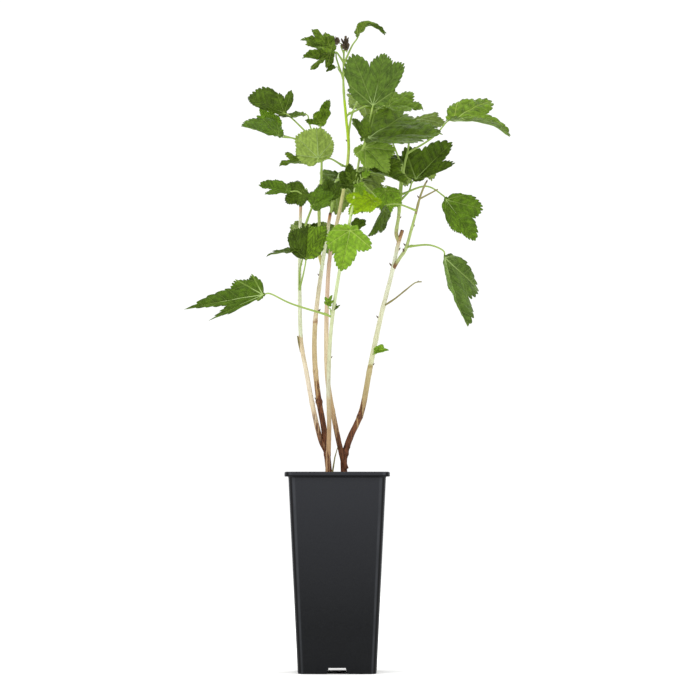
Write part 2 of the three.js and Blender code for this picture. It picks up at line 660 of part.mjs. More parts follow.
function addPart(name, geometry, material) {
  const mesh = new THREE.Mesh(geometry, material);
  mesh.name = name;
  plant.add(mesh);
}

addPart('pot', makePot(), potBlack);
addPart('compost', makeCompost(), compostBrown);
for (const [name, spec] of Object.entries(limbs)) {
  let solid = limb(spec);
  if (spec.parent) solid = largestBody(solid.subtract(limb(limbs[spec.parent], clearance)));
  addPart(name, toGeometry(solid), spec.material);
}
for (const [name, spray] of Object.entries(sprays)) {
  addPart(name, makeSpray(spray), leafGreen);
}

// The origin is on the ground under the middle of the whole plant's box.
const box = new THREE.Box3().setFromObject(plant);
const middle = box.getCenter(new THREE.Vector3());
plant.position.set(-middle.x, -middle.y, 0);
plant.updateMatrixWorld(true);

export default plant;
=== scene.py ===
import math
import bpy
import numpy as np
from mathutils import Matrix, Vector, noise


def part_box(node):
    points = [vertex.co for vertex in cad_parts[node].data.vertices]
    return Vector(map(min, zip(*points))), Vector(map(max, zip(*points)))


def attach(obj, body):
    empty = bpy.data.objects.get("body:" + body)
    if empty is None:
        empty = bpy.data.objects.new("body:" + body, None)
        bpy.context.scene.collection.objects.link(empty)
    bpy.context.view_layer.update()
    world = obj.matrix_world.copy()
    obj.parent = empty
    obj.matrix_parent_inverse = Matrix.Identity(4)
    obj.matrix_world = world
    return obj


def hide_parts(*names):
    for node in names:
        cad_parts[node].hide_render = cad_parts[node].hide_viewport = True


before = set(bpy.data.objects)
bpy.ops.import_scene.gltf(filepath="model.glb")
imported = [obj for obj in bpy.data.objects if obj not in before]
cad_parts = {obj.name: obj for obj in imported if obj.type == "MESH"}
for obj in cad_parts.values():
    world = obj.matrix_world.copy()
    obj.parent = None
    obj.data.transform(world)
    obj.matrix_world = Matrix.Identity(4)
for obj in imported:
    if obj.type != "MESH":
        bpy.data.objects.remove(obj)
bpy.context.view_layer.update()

# A young blackcurrant bush in a deep square nursery pot.
# Places are in millimetres from the pot's own axis on the ground, as in the part.
mm = 0.001
potLow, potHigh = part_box("pot")
potAxis = np.array([(potLow.x + potHigh.x) / 2, (potLow.y + potHigh.y) / 2, 0.0])
scene = bpy.context.scene


def linear(code):  # an sRGB "#rrggbb" turned to the linear colour a shader takes
    parts = [int(code[i:i + 2], 16) / 255 for i in (1, 3, 5)]
    return tuple(c / 12.92 if c <= 0.04045 else ((c + 0.055) / 1.055) ** 2.4 for c in parts) + (1.0,)


def setInputs(tree, node, inputs):  # links a socket, or a node's first live output, and sets any other value
    for name, value in inputs.items():
        if isinstance(value, str) and value.startswith("#"):
            value = linear(value)
        if isinstance(value, bpy.types.Node):
            value = next(socket for socket in value.outputs if socket.enabled)
        if isinstance(value, bpy.types.NodeSocket):
            tree.links.new(value, node.inputs[name])
        else:
            node.inputs[name].default_value = value


def addNode(tree, kind, inputs=None, **settings):  # one node with its settings, values and links
    node = tree.nodes.new(kind)
    for name, value in settings.items():
        setattr(node, name, value)
    setInputs(tree, node, inputs or {})
    return node


def newMaterial(name):  # with its nodes, its shader and the object coordinates
    material = bpy.data.materials.new(name)
    material.use_nodes = True
    tree = material.node_tree
    where = addNode(tree, "ShaderNodeTexCoord").outputs["Object"]
    return material, tree, tree.nodes["Principled BSDF"], where


def layerColours(tree, tone, *layers):  # each layer is a mask and the colour that shows through it
    for mask, colour in layers:
        tone = addNode(tree, "ShaderNodeMix", {0: mask, 6: tone, 7: colour}, data_type="RGBA")
    return tone


def linkObject(name, data):
    made = bpy.data.objects.new(name, data)
    scene.collection.objects.link(made)
    return made


# Camera and studio
camera = {
    "place": (11.3, -4000.0, 220.0),
    "tiltUp": 1.742,  # degrees
    "lens": 195.9,
    "sensor": 36.0,
}
cameraData = bpy.data.cameras.new("camera")
cameraData.lens = camera["lens"]
cameraData.sensor_width = camera["sensor"]
cameraObject = linkObject("camera", cameraData)
cameraObject.location = np.array(camera["place"]) * mm + potAxis
cameraObject.rotation_euler = (math.radians(90 + camera["tiltUp"]), 0, 0)
scene.camera = cameraObject

studio = {
    "world": 1.06,
    "paper": ("#fcfcfb", "#f9f9f8"),
    "floorSide": 9.0,
    "aimAt": (0, 0, 0.4),
    "lamps": [  # place in metres, size, watts: a soft key, a fill, a back light and one from above
        ((-1.5, -1.9, 2.1), 1.5, 26),
        ((2.0, -1.6, 1.3), 1.6, 10),
        ((0.6, 2.0, 1.9), 1.4, 14),
        ((0.0, -0.2, 2.6), 1.8, 20),
    ],
}
world = bpy.data.worlds.new("white studio")
world.use_nodes = True
world.node_tree.nodes["Background"].inputs["Color"].default_value = (1, 1, 1, 1)
world.node_tree.nodes["Background"].inputs["Strength"].default_value = studio["world"]
scene.world = world
scene.view_settings.view_transform = "Standard"
for number, (place, size, watts) in enumerate(studio["lamps"]):
    lamp = bpy.data.lights.new(f"lamp{number}", "AREA")
    lamp.size = size
    lamp.energy = watts
    lampObject = linkObject(f"lamp{number}", lamp)
    lampObject.location = place
    beam = Vector(studio["aimAt"]) - Vector(place)
    lampObject.rotation_euler = beam.to_track_quat("-Z", "Y").to_euler()

# Seamless photographer's paper: matt, so it shows only a soft shadow
paperMaterial, tree, shader, where = newMaterial("matt studio paper")
grain = addNode(tree, "ShaderNodeTexNoise", {"Scale": 3.0, "Detail": 2.0})
tone = layerColours(tree, studio["paper"][0], (grain, studio["paper"][1]))
setInputs(tree, shader, {"Base Color": tone, "Roughness": 0.95, "Specular IOR Level": 0.1})
half = studio["floorSide"] / 2
floorMesh = bpy.data.meshes.new("floor")
corners = [(-half, -half, 0), (half, -half, 0), (half, half, 0), (-half, half, 0)]
floorMesh.from_pydata(corners, [], [(0, 1, 2, 3)])
floorMesh.materials.append(paperMaterial)
floor = linkObject("floor", floorMesh)
print("studio ready")


# Shapes along a path: points between two turns, the fewest steps, and what sets the first side
paths = {"fine": 24, "fewestSteps": 3, "firstAside": (0.2, 0.95, 0.1)}


def unit(vectors):
    vectors = np.asarray(vectors, float)
    return vectors / np.linalg.norm(vectors, axis=-1, keepdims=True)


def routePoint(route, share):  # a smooth curve through the points; share runs from 0 to 1 by point number
    points = np.array(route, float)
    points = np.vstack([2 * points[0] - points[1], points, 2 * points[-1] - points[-2]])
    place = min(max(share, 0.0), 1.0) * (len(points) - 3)
    first = min(int(place), len(points) - 4)
    t = place - first
    p0, p1, p2, p3 = points[first:first + 4]
    v0, v1 = (p2 - p0) / 2, (p3 - p1) / 2
    return (2 * p1 - 2 * p2 + v0 + v1) * t ** 3 + (3 * p2 - 3 * p1 - 2 * v0 - v1) * t ** 2 + v0 * t + p1


def evenRoute(route, step):  # the same curve in even steps of about the length asked
    fine = np.array([routePoint(route, s) for s in np.linspace(0, 1, paths["fine"] * (len(route) - 1) + 1)])
    run = np.concatenate([[0], np.cumsum(np.linalg.norm(np.diff(fine, axis=0), axis=1))])
    wanted = np.linspace(0, run[-1], max(paths["fewestSteps"], int(run[-1] / step)) + 1)
    return np.stack([np.interp(wanted, run, fine[:, k]) for k in range(3)], axis=1), wanted


def carriedFrames(points):  # two directions across a path that don't twist along it
    ahead = unit(np.gradient(points, axis=0))
    normal = np.cross(ahead[0], paths["firstAside"])
    normals = []
    for direction in ahead:
        normal = unit(normal - direction * np.dot(normal, direction))
        normals.append(normal)
    normals = np.array(normals)
    return ahead, normals, np.cross(ahead, normals)


class Pile:  # parts of one kind, gathered to be one mesh
    def __init__(self):
        self.points, self.faces, self.slots, self.marks, self.count = [], [], [], [], 0
        self.nodes = set()

    def add(self, points, faces, slots, marks=None):
        self.points.append(points)
        self.faces += [tuple(corner + self.count for corner in face) for face in faces]
        self.slots += slots
        if marks is not None:
            self.marks.append(marks)
        self.count += len(points)


def makeObject(name, pile, materials):
    mesh = bpy.data.meshes.new(name)
    places = np.concatenate(pile.points) * mm + potAxis
    mesh.from_pydata(places.tolist(), [], pile.faces)
    for material in materials:
        mesh.materials.append(material)
    mesh.polygons.foreach_set("material_index", pile.slots)
    mesh.polygons.foreach_set("use_smooth", [True] * len(mesh.polygons))
    if pile.marks:
        veins = mesh.attributes.new("veins", "FLOAT_VECTOR", "POINT")
        veins.data.foreach_set("vector", np.concatenate(pile.marks).ravel())
    return linkObject(name, mesh)


def plainObject(name, points, faces, *materials):
    pile = Pile()
    pile.add(np.array(points, float), faces, [0] * len(faces))
    return makeObject(name, pile, materials)


def finishPiece(piece, nodes=()):
    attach(piece, "root")
    if nodes:
        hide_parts(*sorted(nodes))


def evaluatedMesh(source):
    bpy.context.view_layer.update()
    return bpy.data.meshes.new_from_object(source.evaluated_get(bpy.context.evaluated_depsgraph_get()))


def bakeTree(source, tree, values, name):  # runs a node tree on the source and keeps the plain mesh it makes
    modifier = source.modifiers.new("tree", "NODES")
    modifier.node_group = tree
    for item in tree.interface.items_tree:
        if item.item_type == "SOCKET" and item.in_out == "INPUT" and item.name in values:
            modifier[item.identifier] = values[item.name]
    mesh = evaluatedMesh(source)
    source.modifiers.remove(modifier)
    bpy.data.objects.remove(source)
    mesh.name = name
    return linkObject(name, mesh)


def startTree(name, sockets):
    tree = bpy.data.node_groups.new(name, "GeometryNodeTree")
    tree.interface.new_socket("Geometry", in_out="INPUT", socket_type="NodeSocketGeometry")
    for label, kind in sockets.items():
        tree.interface.new_socket(label, in_out="INPUT", socket_type=kind)
    tree.interface.new_socket("Geometry", in_out="OUTPUT", socket_type="NodeSocketGeometry")
    return tree, addNode(tree, "NodeGroupInput")


def endTree(tree, geometry, material):
    real = addNode(tree, "GeometryNodeRealizeInstances", {"Geometry": geometry})
    smooth = addNode(tree, "GeometryNodeSetShadeSmooth", {"Geometry": real})
    paint = addNode(tree, "GeometryNodeSetMaterial", {"Geometry": smooth, "Material": material})
    addNode(tree, "NodeGroupOutput", {"Geometry": paint})


def sweepTubes(name, runs, sides, material):  # round tubes that taper along their paths
    curve = bpy.data.curves.new(name, "CURVE")
    curve.dimensions = "3D"
    for points, radii in runs:
        spline = curve.splines.new("POLY")
        spline.points.add(len(points) - 1)
        places = np.array(points) * mm + potAxis
        spline.points.foreach_set("co", np.hstack([places, np.ones((len(places), 1))]).ravel())
        spline.points.foreach_set("radius", np.array(radii) * mm)
    source = linkObject(name + "_paths", curve)
    tree, start = startTree(name + " tubes", {"Sides": "NodeSocketInt"})
    ring = addNode(tree, "GeometryNodeCurvePrimitiveCircle", {
        "Resolution": start.outputs["Sides"], "Radius": 1.0})
    radius = addNode(tree, "GeometryNodeInputRadius")
    sweep = addNode(tree, "GeometryNodeCurveToMesh", {
        "Curve": start.outputs["Geometry"], "Profile Curve": ring, "Scale": radius, "Fill Caps": True})
    endTree(tree, sweep, material)
    return bakeTree(source, tree, {"Sides": sides}, name)


# Pot: a thin injection-moulded tub, square in plan with round corners
pot = {
    "height": 211.0, "bottomSide": 82.5, "topSide": 102.0, "rimSide": 110.0, "rimHeight": 5.0,
    "wall": 1.5, "floor": 2.0, "corner": 8.0, "rimCorner": 10.0, "footRounding": 1.5, "footRows": 5,
    "channelHeight": 6.4, "channelTop": 17.8, "channelFoot": 22.4, "channelBelow": 1.0,
    "hole": 5.0, "holeSpacing": 26.0, "holeSides": 24, "holePast": 3.0,
    "cornerSteps": 10, "wallRows": 16, "innerRows": 8, "innerStart": 8.0,
    "floorRound": 1.0, "floorRise": 2.0, "sharp": 38.0,
    # side, corner radius and height added where the wall turns out under the rim
    "rimTurn": ((0.0, 0.0, -1.2), (0.5, 0.0, -0.3), (1.6, 0.6, 0.0)),
    # inset and height of the rolled rim's rings, then the lip's inner ones: extra side and depth
    "rimRoll": ((0.7, 0.0), (0.2, 0.2), (0.0, 0.7), (0.0, 3.9), (0.3, 4.6), (1.0, 5.0)),
    "lipRoll": ((1.4, 0.0), (0.4, 0.3), (0.0, 1.0)),
}


def roundedSquare(side, radius, z):
    ring = []
    for corner in range(4):
        turn = corner * math.pi / 2
        for step in range(pot["cornerSteps"] + 1):
            angle = turn + step / pot["cornerSteps"] * math.pi / 2
            reach = side / 2 - radius
            middle = (reach * (math.cos(turn) - math.sin(turn)), reach * (math.sin(turn) + math.cos(turn)))
            ring.append((middle[0] + radius * math.cos(angle), middle[1] + radius * math.sin(angle), z))
    return ring


def loftRings(rings):
    sides = len(rings[0])
    points = np.array([point for ring in rings for point in ring], float)
    faces = []
    for row in range(len(rings) - 1):
        for side in range(sides):
            here, beside = row * sides + side, row * sides + (side + 1) % sides
            faces.append((here, beside, beside + sides, here + sides))
    faces.append(tuple(reversed(range(sides))))
    faces.append(tuple(range((len(rings) - 1) * sides, len(rings) * sides)))
    return points, faces


def potSideAt(z):
    return pot["bottomSide"] + (pot["topSide"] - pot["bottomSide"]) * z / (pot["height"] - pot["rimHeight"])


def makePot(material):
    height, corner = pot["height"], pot["corner"]
    rimFoot = height - pot["rimHeight"]
    innerTop, innerRadius = pot["topSide"] - 2 * pot["wall"], corner - pot["wall"]
    floorTop = pot["channelHeight"] + pot["floor"]
    profile = []  # side, corner radius and height, up the outside and down the inside
    for angle in np.linspace(0, math.pi / 2, pot["footRows"]):  # rounded foot
        inset = pot["footRounding"] * (1 - math.sin(angle))
        z = pot["footRounding"] * (1 - math.cos(angle))
        profile.append((potSideAt(z) - 2 * inset, corner - inset, z))
    for z in np.linspace(pot["footRounding"], rimFoot + pot["rimTurn"][0][2], pot["wallRows"])[1:]:
        profile.append((potSideAt(z), corner, z))
    profile += [(pot["topSide"] + more, corner + rounder, rimFoot + rise)
                for more, rounder, rise in pot["rimTurn"][1:]]
    profile += [(pot["rimSide"] - 2 * inset, pot["rimCorner"] - inset, rimFoot + z)
                for inset, z in pot["rimRoll"]]
    profile += [(innerTop + more, innerRadius + more / 2, height - depth) for more, depth in pot["lipRoll"]]
    profile += [(potSideAt(z) - 2 * pot["wall"], innerRadius, z) for z in np.linspace(
        height - pot["innerStart"], floorTop + pot["floorRise"], pot["innerRows"])]
    inset = pot["wall"] + pot["floorRound"]
    profile.append((potSideAt(floorTop) - 2 * inset, innerRadius - pot["floorRound"], floorTop))
    shell = plainObject("nursery_pot", *loftRings([roundedSquare(*row) for row in profile]), material)
    cutters = []
    far = pot["topSide"]
    for turned in (False, True):
        box = []
        for z, side in ((-pot["channelBelow"], "channelFoot"), (pot["channelHeight"], "channelTop")):
            width = pot[side] / 2
            box += [(-width, -far, z), (width, -far, z), (width, far, z), (-width, far, z)]
        if turned:
            box = [(-y, x, z) for x, y, z in box]
        cutters.append(plainObject("cutter", box, [
            (3, 2, 1, 0), (4, 5, 6, 7), (0, 1, 5, 4), (1, 2, 6, 5), (2, 3, 7, 6), (3, 0, 4, 7)]))
    spacing = pot["holeSpacing"]
    for x, y in ((0, 0), (spacing, 0), (-spacing, 0), (0, spacing), (0, -spacing)):
        circle = [(x + pot["hole"] * math.cos(turn), y + pot["hole"] * math.sin(turn))
                  for turn in np.linspace(0, 2 * math.pi, pot["holeSides"], endpoint=False)]
        ends = (pot["channelHeight"] - pot["holePast"], floorTop + pot["holePast"])
        rims = [[(*place, z) for place in circle] for z in ends]
        cutters.append(plainObject("cutter", *loftRings(rims)))
    for cutter in cutters:
        cut = shell.modifiers.new("cut", "BOOLEAN")
        cut.object = cutter
        cut.operation = "DIFFERENCE"
        cut.solver = "EXACT"
    mesh = evaluatedMesh(shell)
    shell.modifiers.clear()
    shell.data = mesh
    for cutter in cutters:
        bpy.data.objects.remove(cutter)
    mesh.materials.clear()
    mesh.materials.append(material)
    mesh.set_sharp_from_angle(angle=math.radians(pot["sharp"]))
    return shell


# Recycled polypropylene, injection moulded: near black, matt, with a faint mould grain. Its colour also holds
# painted shade and painted highlights
potLook = {
    "foot": "#0c0d0f", "top": "#28292d", "grain": "#2b2d30", "paintedCornerHighlight": "#424448", "shaded": "#040405",
    "paintedCornerHighlightAt": 0.905,  # where the painted highlight band runs, as a share of the way from a side's middle to its corner
    # height and half width in mm of a painted shadow band under and along the rim's lower edge, and how dark
    # it is
    "paintedRimShadowAt": 206.4, "paintedRimShadowHalf": 1.4, "lipShade": 0.8,
}
potMaterial, tree, shader, where = newMaterial("moulded black polypropylene")
height = addNode(tree, "ShaderNodeSeparateXYZ", {0: where})
# painted shade and light: the wall is painted darker towards the foot and lighter towards the top, as the
# studio light falls
paintedShadeTowardFoot = addNode(tree, "ShaderNodeMapRange", {"Value": height.outputs["Z"], "From Min": 0.05, "From Max": 0.21})
cloud = addNode(tree, "ShaderNodeTexNoise", {"Vector": where, "Scale": 28.0, "Detail": 4.0, "Roughness": 0.6})
grain = addNode(tree, "ShaderNodeTexNoise", {  # mould grain about 0.7 mm across
    "Vector": where, "Scale": 1400.0, "Detail": 2.0})
speck = addNode(tree, "ShaderNodeMapRange", {
    "Value": grain, "From Min": 0.35, "From Max": 0.75, "To Min": 0.0, "To Max": 0.35})
# a painted highlight: a paler band beside each corner stands in for the lamps' reflection in the rounded
# corner, and the corner itself is painted dark as shade
centred = addNode(tree, "ShaderNodeVectorMath", {0: where, 1: tuple(potAxis)}, operation="SUBTRACT")
sides = addNode(tree, "ShaderNodeVectorMath", {0: centred}, operation="ABSOLUTE")
across = addNode(tree, "ShaderNodeSeparateXYZ", {0: sides})
lesser, greater = (addNode(tree, "ShaderNodeMath", {
    0: across.outputs["X"], 1: across.outputs["Y"]}, operation=kind) for kind in ("MINIMUM", "MAXIMUM"))
toward = addNode(tree, "ShaderNodeMath", {0: lesser, 1: greater}, operation="DIVIDE")
shift = addNode(tree, "ShaderNodeMath", {0: toward, 1: potLook["paintedCornerHighlightAt"]}, operation="SUBTRACT")
offLine = addNode(tree, "ShaderNodeMath", {0: shift}, operation="ABSOLUTE")
paintedCornerHighlight = addNode(tree, "ShaderNodeMapRange", {
    "Value": offLine, "From Min": 0.015, "From Max": 0.055, "To Min": 0.75, "To Max": 0.0},
    interpolation_type="SMOOTHSTEP")
uneven = addNode(tree, "ShaderNodeMath", {0: paintedCornerHighlight, 1: cloud}, operation="MULTIPLY")
# painted shade: the corner's rounding is painted near black
paintedCornerShade = addNode(tree, "ShaderNodeMapRange", {
    "Value": toward, "From Min": 0.945, "From Max": 0.975, "To Min": 0.0, "To Max": 0.9})
# painted shadow: a dark band under and along the rim's lower edge
rimShadowBand = addNode(tree, "ShaderNodeMath", {
    0: height.outputs["Z"], 1: potLook["paintedRimShadowAt"] * mm, 2: potLook["paintedRimShadowHalf"] * mm}, operation="COMPARE")
paintedRimShadow = addNode(tree, "ShaderNodeMath", {0: rimShadowBand, 1: potLook["lipShade"]}, operation="MULTIPLY")
paintedCornerAndRimShade = addNode(tree, "ShaderNodeMath", {0: paintedCornerShade, 1: paintedRimShadow}, operation="MAXIMUM")
tone = layerColours(tree, potLook["foot"], (paintedShadeTowardFoot, potLook["top"]), (speck, potLook["grain"]),
                    (uneven, potLook["paintedCornerHighlight"]), (paintedCornerAndRimShade, potLook["shaded"]))
gloss = addNode(tree, "ShaderNodeMapRange", {
    "Value": cloud, "From Min": 0.3, "From Max": 0.7, "To Min": 0.42, "To Max": 0.56})
bump = addNode(tree, "ShaderNodeBump", {"Strength": 0.25, "Distance": 0.0003, "Height": grain})
setInputs(tree, shader, {
    "Base Color": tone, "Roughness": gloss, "Normal": bump, "IOR": 1.49, "Specular IOR Level": 0.11})
finishPiece(makePot(potMaterial), ["pot"])
print("pot made")

# Compost: fibrous peat-free mix, moist and dark, loose on top
soil = {
    "top": 196.0, "gap": 0.3, "edge": 3.0, "grid": 46, "dark": "#1b1410", "pale": "#4a3626",
    "waves": 1.6, "waveScale": 0.09, "waveKind": (0.7, 2.1, 4),  # fractal dimension, step and octaves
    "settled": 1.0,  # mm, how far the waved top lies under the level
    "crumbs": 150000.0, "crumb": 1.3, "crumbInset": 2.5, "crumbDepth": 0.9, "seed": 5,
    "lumpScale": 900.0, "lumpPush": 2.2, "slightest": (0.25, 0.25, 0.2), "largest": (1.5, 1.1, 0.8),
}
soilMaterial, tree, shader, where = newMaterial("moist potting compost")
clod = addNode(tree, "ShaderNodeTexNoise", {
    "Vector": where, "Scale": 420.0, "Detail": 5.0, "Roughness": 0.65})
shade = addNode(tree, "ShaderNodeMapRange", {"Value": clod, "From Min": 0.35, "From Max": 0.7})
tone = layerColours(tree, soil["dark"], (shade, soil["pale"]))
bump = addNode(tree, "ShaderNodeBump", {"Strength": 0.7, "Distance": 0.001, "Height": clod})
setInputs(tree, shader, {"Base Color": tone, "Roughness": 0.95, "Normal": bump})


def makeSoil():
    inset = pot["wall"] + soil["gap"]
    radius = pot["corner"] - pot["wall"]
    levels = (pot["channelHeight"] + pot["floor"] + soil["gap"], soil["top"] - soil["edge"], soil["top"])
    rings = [roundedSquare(potSideAt(z) - 2 * inset, radius, z) for z in levels]
    outer = rings.pop()
    for step in range(soil["grid"]):  # the top, from its edge to a small ring at the middle
        share = 1 - step / soil["grid"]
        ring = []
        for x, y, z in outer:
            spot = Vector((x * share, y * share, 0)) * soil["waveScale"]
            wave = soil["waves"] * noise.fractal(spot, *soil["waveKind"])
            ring.append((x * share, y * share, z + wave - soil["settled"]))
        rings.append(ring)
    return plainObject("compost_bed", *loftRings(rings), soilMaterial)


def makeCrumbs():
    side = potSideAt(soil["top"]) / 2 - pot["wall"] - soil["crumbInset"]
    level = soil["top"] - soil["crumbDepth"]
    field = [(-side, -side, level), (side, -side, level), (side, side, level), (-side, side, level)]
    source = plainObject("crumb_field", field, [(0, 1, 2, 3)])
    tree, start = startTree("compost crumbs", {
        "Per square metre": "NodeSocketFloat", "Crumb size": "NodeSocketFloat", "Seed": "NodeSocketInt"})
    spots = addNode(tree, "GeometryNodeDistributePointsOnFaces", {
        "Mesh": start.outputs["Geometry"], "Density": start.outputs["Per square metre"],
        "Seed": start.outputs["Seed"]})
    ball = addNode(tree, "GeometryNodeMeshUVSphere", {
        "Radius": start.outputs["Crumb size"], "Segments": 7, "Rings": 5})
    lump = addNode(tree, "ShaderNodeTexNoise", {
        "Scale": soil["lumpScale"], "Detail": 2.0}, noise_dimensions="3D")
    push = addNode(tree, "ShaderNodeVectorMath", {
        0: lump.outputs["Color"], 1: (0.5, 0.5, 0.5)}, operation="SUBTRACT")
    pushed = addNode(tree, "ShaderNodeVectorMath", {
        0: push, "Scale": soil["lumpPush"] * mm}, operation="SCALE")
    crumb = addNode(tree, "GeometryNodeSetPosition", {"Geometry": ball, "Offset": pushed})
    turn = addNode(tree, "FunctionNodeRandomValue", {
        "Max": (6.28, 6.28, 6.28), "Seed": start.outputs["Seed"]}, data_type="FLOAT_VECTOR")
    size = addNode(tree, "FunctionNodeRandomValue", {
        "Min": soil["slightest"], "Max": soil["largest"], "Seed": 3}, data_type="FLOAT_VECTOR")
    placed = addNode(tree, "GeometryNodeInstanceOnPoints", {
        "Points": spots, "Instance": crumb, "Rotation": turn, "Scale": size})
    endTree(tree, placed, soilMaterial)
    return bakeTree(source, tree, {
        "Per square metre": soil["crumbs"], "Crumb size": soil["crumb"] * mm, "Seed": soil["seed"]},
        "compost_crumbs")


finishPiece(makeSoil(), ["compost"])
finishPiece(makeCrumbs())
print("compost made")

# Canes and shoots. Bark stops are height in mm and colour, lowest first
canes = {
    "sides": 20, "step": 1.4, "flareGain": 0.55, "flareHeight": 14.0, "nodeSwell": 0.11, "nodeRun": 2.4,
    "sunk": 2.5,  # how far the foot stands down in the loose compost
    "collarGain": 0.3, "collarRun": 5.0,  # the swelling where a shoot leaves its parent
    "ridge": 0.035, "oldGain": 2.2, "oldHeight": 90.0,  # older wood peels, up to this height over the compost
    "cutEnd": ((0.85, 0.25), (0.5, -0.2)),  # a cut end: bevelled wood with a soft middle
    # the bark's waves: how fast around the limb and along it, and how strong
    "barkWaves": (2.2, 0.05, 1.0), "barkRipples": (5, 0.25, 0.6),
    "rough": {"cane_bark": 0.62, "green_shoot": 0.48},
}
limbs = {
    "cane_brown": {
        "route": [[-7, 3, 196.3], [-9, 4, 212], [-14, 6, 255], [-20, 9, 290], [-24, 14, 330],
                  [-23.6, 19, 368], [-19, 26, 410], [-13, 33, 452], [-7.5, 39, 487]],
        "radii": [3.5, 1.7], "slot": "cane_bark",
        "joints": [0.12, 0.31, 0.42, 0.6, 0.72, 0.84, 0.93],
        "peel": 314, "knots": {0.31: 0.32},
        "stops": [(196, "#7a5236"), (284, "#8f6844"), (288, "#4f2c1c"), (294, "#a3845a"), (320, "#c2ae86"),
                  (345, "#bcab82"), (366, "#c4b48c"), (369, "#8d6440"), (373, "#cdbfa0"), (412, "#cfc8ac"),
                  (428, "#ccd3b2"), (468, "#ccd2b0"), (478, "#cbaf8e"), (484, "#b5834f"), (489, "#5c3e28")],
    },
    "cane_left": {
        "route": [[-11.5, 6, 233], [-18, 4, 246], [-26, 6, 280], [-33, 10, 318], [-38.5, 14, 350],
                  [-40, 18, 400], [-40, 22, 450], [-39, 25, 495]],
        "radii": [2.7, 1.6], "slot": "cane_bark",
        "joints": [0.2, 0.42, 0.62, 0.83],
        "peel": 264,
        "stops": [(232, "#8a6647"), (256, "#b49a78"), (281, "#d0c2a6"), (302, "#d6cbb6"), (324, "#d4c8ac"),
                  (342, "#d0c0a0"), (354, "#bfae88"), (358, "#cbd2b4"), (470, "#ced6b8"), (486, "#d2c4a4"),
                  (493, "#cfae90"), (496, "#a07a60")],
    },
    "cane_front": {
        "route": [[-11, -10, 196.3], [-10, -11, 214], [-8.5, -14, 260], [-9.3, -20, 300],
                  [-6.5, -30, 360], [2.4, -38, 421], [12.5, -42, 470], [17, -29, 495],
                  [20, -16, 520], [23, -13, 540]],
        "radii": [2.6, 1.2], "slot": "green_shoot",
        "joints": [0.1, 0.22, 0.36, 0.52, 0.66, 0.79, 0.9],
        "peel": 226,
        "stops": [(196, "#8f6a48"), (215, "#b8946e"), (240, "#ad8e68"), (262, "#a89270"), (284, "#b3a582"),
                  (300, "#b9b9a0"), (340, "#bfc49f"), (420, "#c0cf9c"), (540, "#b0c876")],
    },
    "cane_right": {
        "route": [[9, 2, 196.3], [7, 2, 212], [7.5, 2, 228], [14, 3, 248], [26, 5, 276],
                  [35, 7, 323], [46, 9, 375], [57, 11, 418], [64, 12, 450], [69, 13, 467]],
        "radii": [3.6, 1.9], "slot": "cane_bark",
        "joints": [0.13, 0.28, 0.45, 0.58, 0.7, 0.85, 0.93],
        "peel": 286, "knots": {0.13: 0.28},
        "stops": [(196, "#6e452c"), (232, "#80573a"), (236, "#43251a"), (241, "#8a6442"), (262, "#9c8058"),
                  (300, "#a99a70"), (321, "#b4a87c"), (324, "#8d793b"), (328, "#c8caa4"), (345, "#cccdaa"),
                  (440, "#d9ddc6"), (452, "#d2c3a2"), (461, "#c09a70"), (466, "#6e4a32"), (469, "#35211a")],
    },
    "cane_centre": {
        "route": [[8.6, 2, 214], [4.4, 0, 230], [-0.8, -1.5, 254], [-9.4, -2, 301], [-11.6, -3, 345],
                  [-10.5, -4, 400], [-7, -6, 444], [2, -7, 484], [8.5, -6, 520], [12, -4, 552],
                  [9.6, -3, 582], [7.5, -3, 604]],
        "radii": [2.9, 1.4], "slot": "cane_bark",
        "joints": [0.16, 0.3, 0.42, 0.55, 0.68, 0.8, 0.9],
        "peel": 268,
        "stops": [(212, "#8a6444"), (240, "#9c7a56"), (290, "#b09a74"), (345, "#cbbd9c"), (400, "#c4ac94"),
                  (444, "#bfa48c"), (480, "#c8bc94"), (540, "#b9cb66"), (556, "#a6c232"), (604, "#9cbc28")],
    },
    "shoot_upright": {
        "route": [[-16, 30, 431], [-19.5, 36, 445], [-19.3, 39, 470], [-19.5, 41, 495], [-17.5, 43, 522]],
        "radii": [1.9, 1.5], "slot": "green_shoot", "joints": [0.3, 0.62, 0.9],
        "peel": 0, "stops": [(431, "#b99f6c"), (446, "#b3c07a"), (522, "#9fb95c")],
    },
    "shoot_right": {
        "route": [[65.5, 12.5, 455], [62.5, 14.5, 464], [64.8, 16, 480], [66.6, 17, 496]],
        "radii": [2, 1.7], "slot": "green_shoot", "joints": [0.35, 0.8],
        "peel": 0, "stops": [(455, "#a88d5e"), (466, "#b7c286"), (496, "#a9c06c")],
    },
    "shoot_outer": {
        "route": [[59.5, 11.5, 427], [66, 6, 437], [72.5, 1, 447], [78, -4, 466], [83, -8, 484]],
        "radii": [1.9, 1.4], "slot": "green_shoot", "joints": [0.3, 0.42, 0.75],
        "peel": 0, "stops": [(427, "#7a5a3a"), (437, "#aebb80"), (484, "#9db465")],
    },
}
lowest, highest, drift = 190.0, 690.0, 15.0  # mm: the run of every bark ramp, and how far its tones wander
barkLook = {
    "fibre": "#b3a08a", "strip": "#220d07", "stripWorn": "#744429", "pore": "#8f6f4e",
    "peelRun": 70, "peelGain": 0.42,  # how far down the strips thicken, and how fast
    # waves a metre across and along, detail, roughness: fibres about 1 mm wide and 15 mm long,
    # and the strips that old bark peels in, 2 mm wide and 30 mm long
    "strands": ((900.0, 60.0, 3.0, 0.6), (420.0, 34.0, 4.0, 0.55)),
}


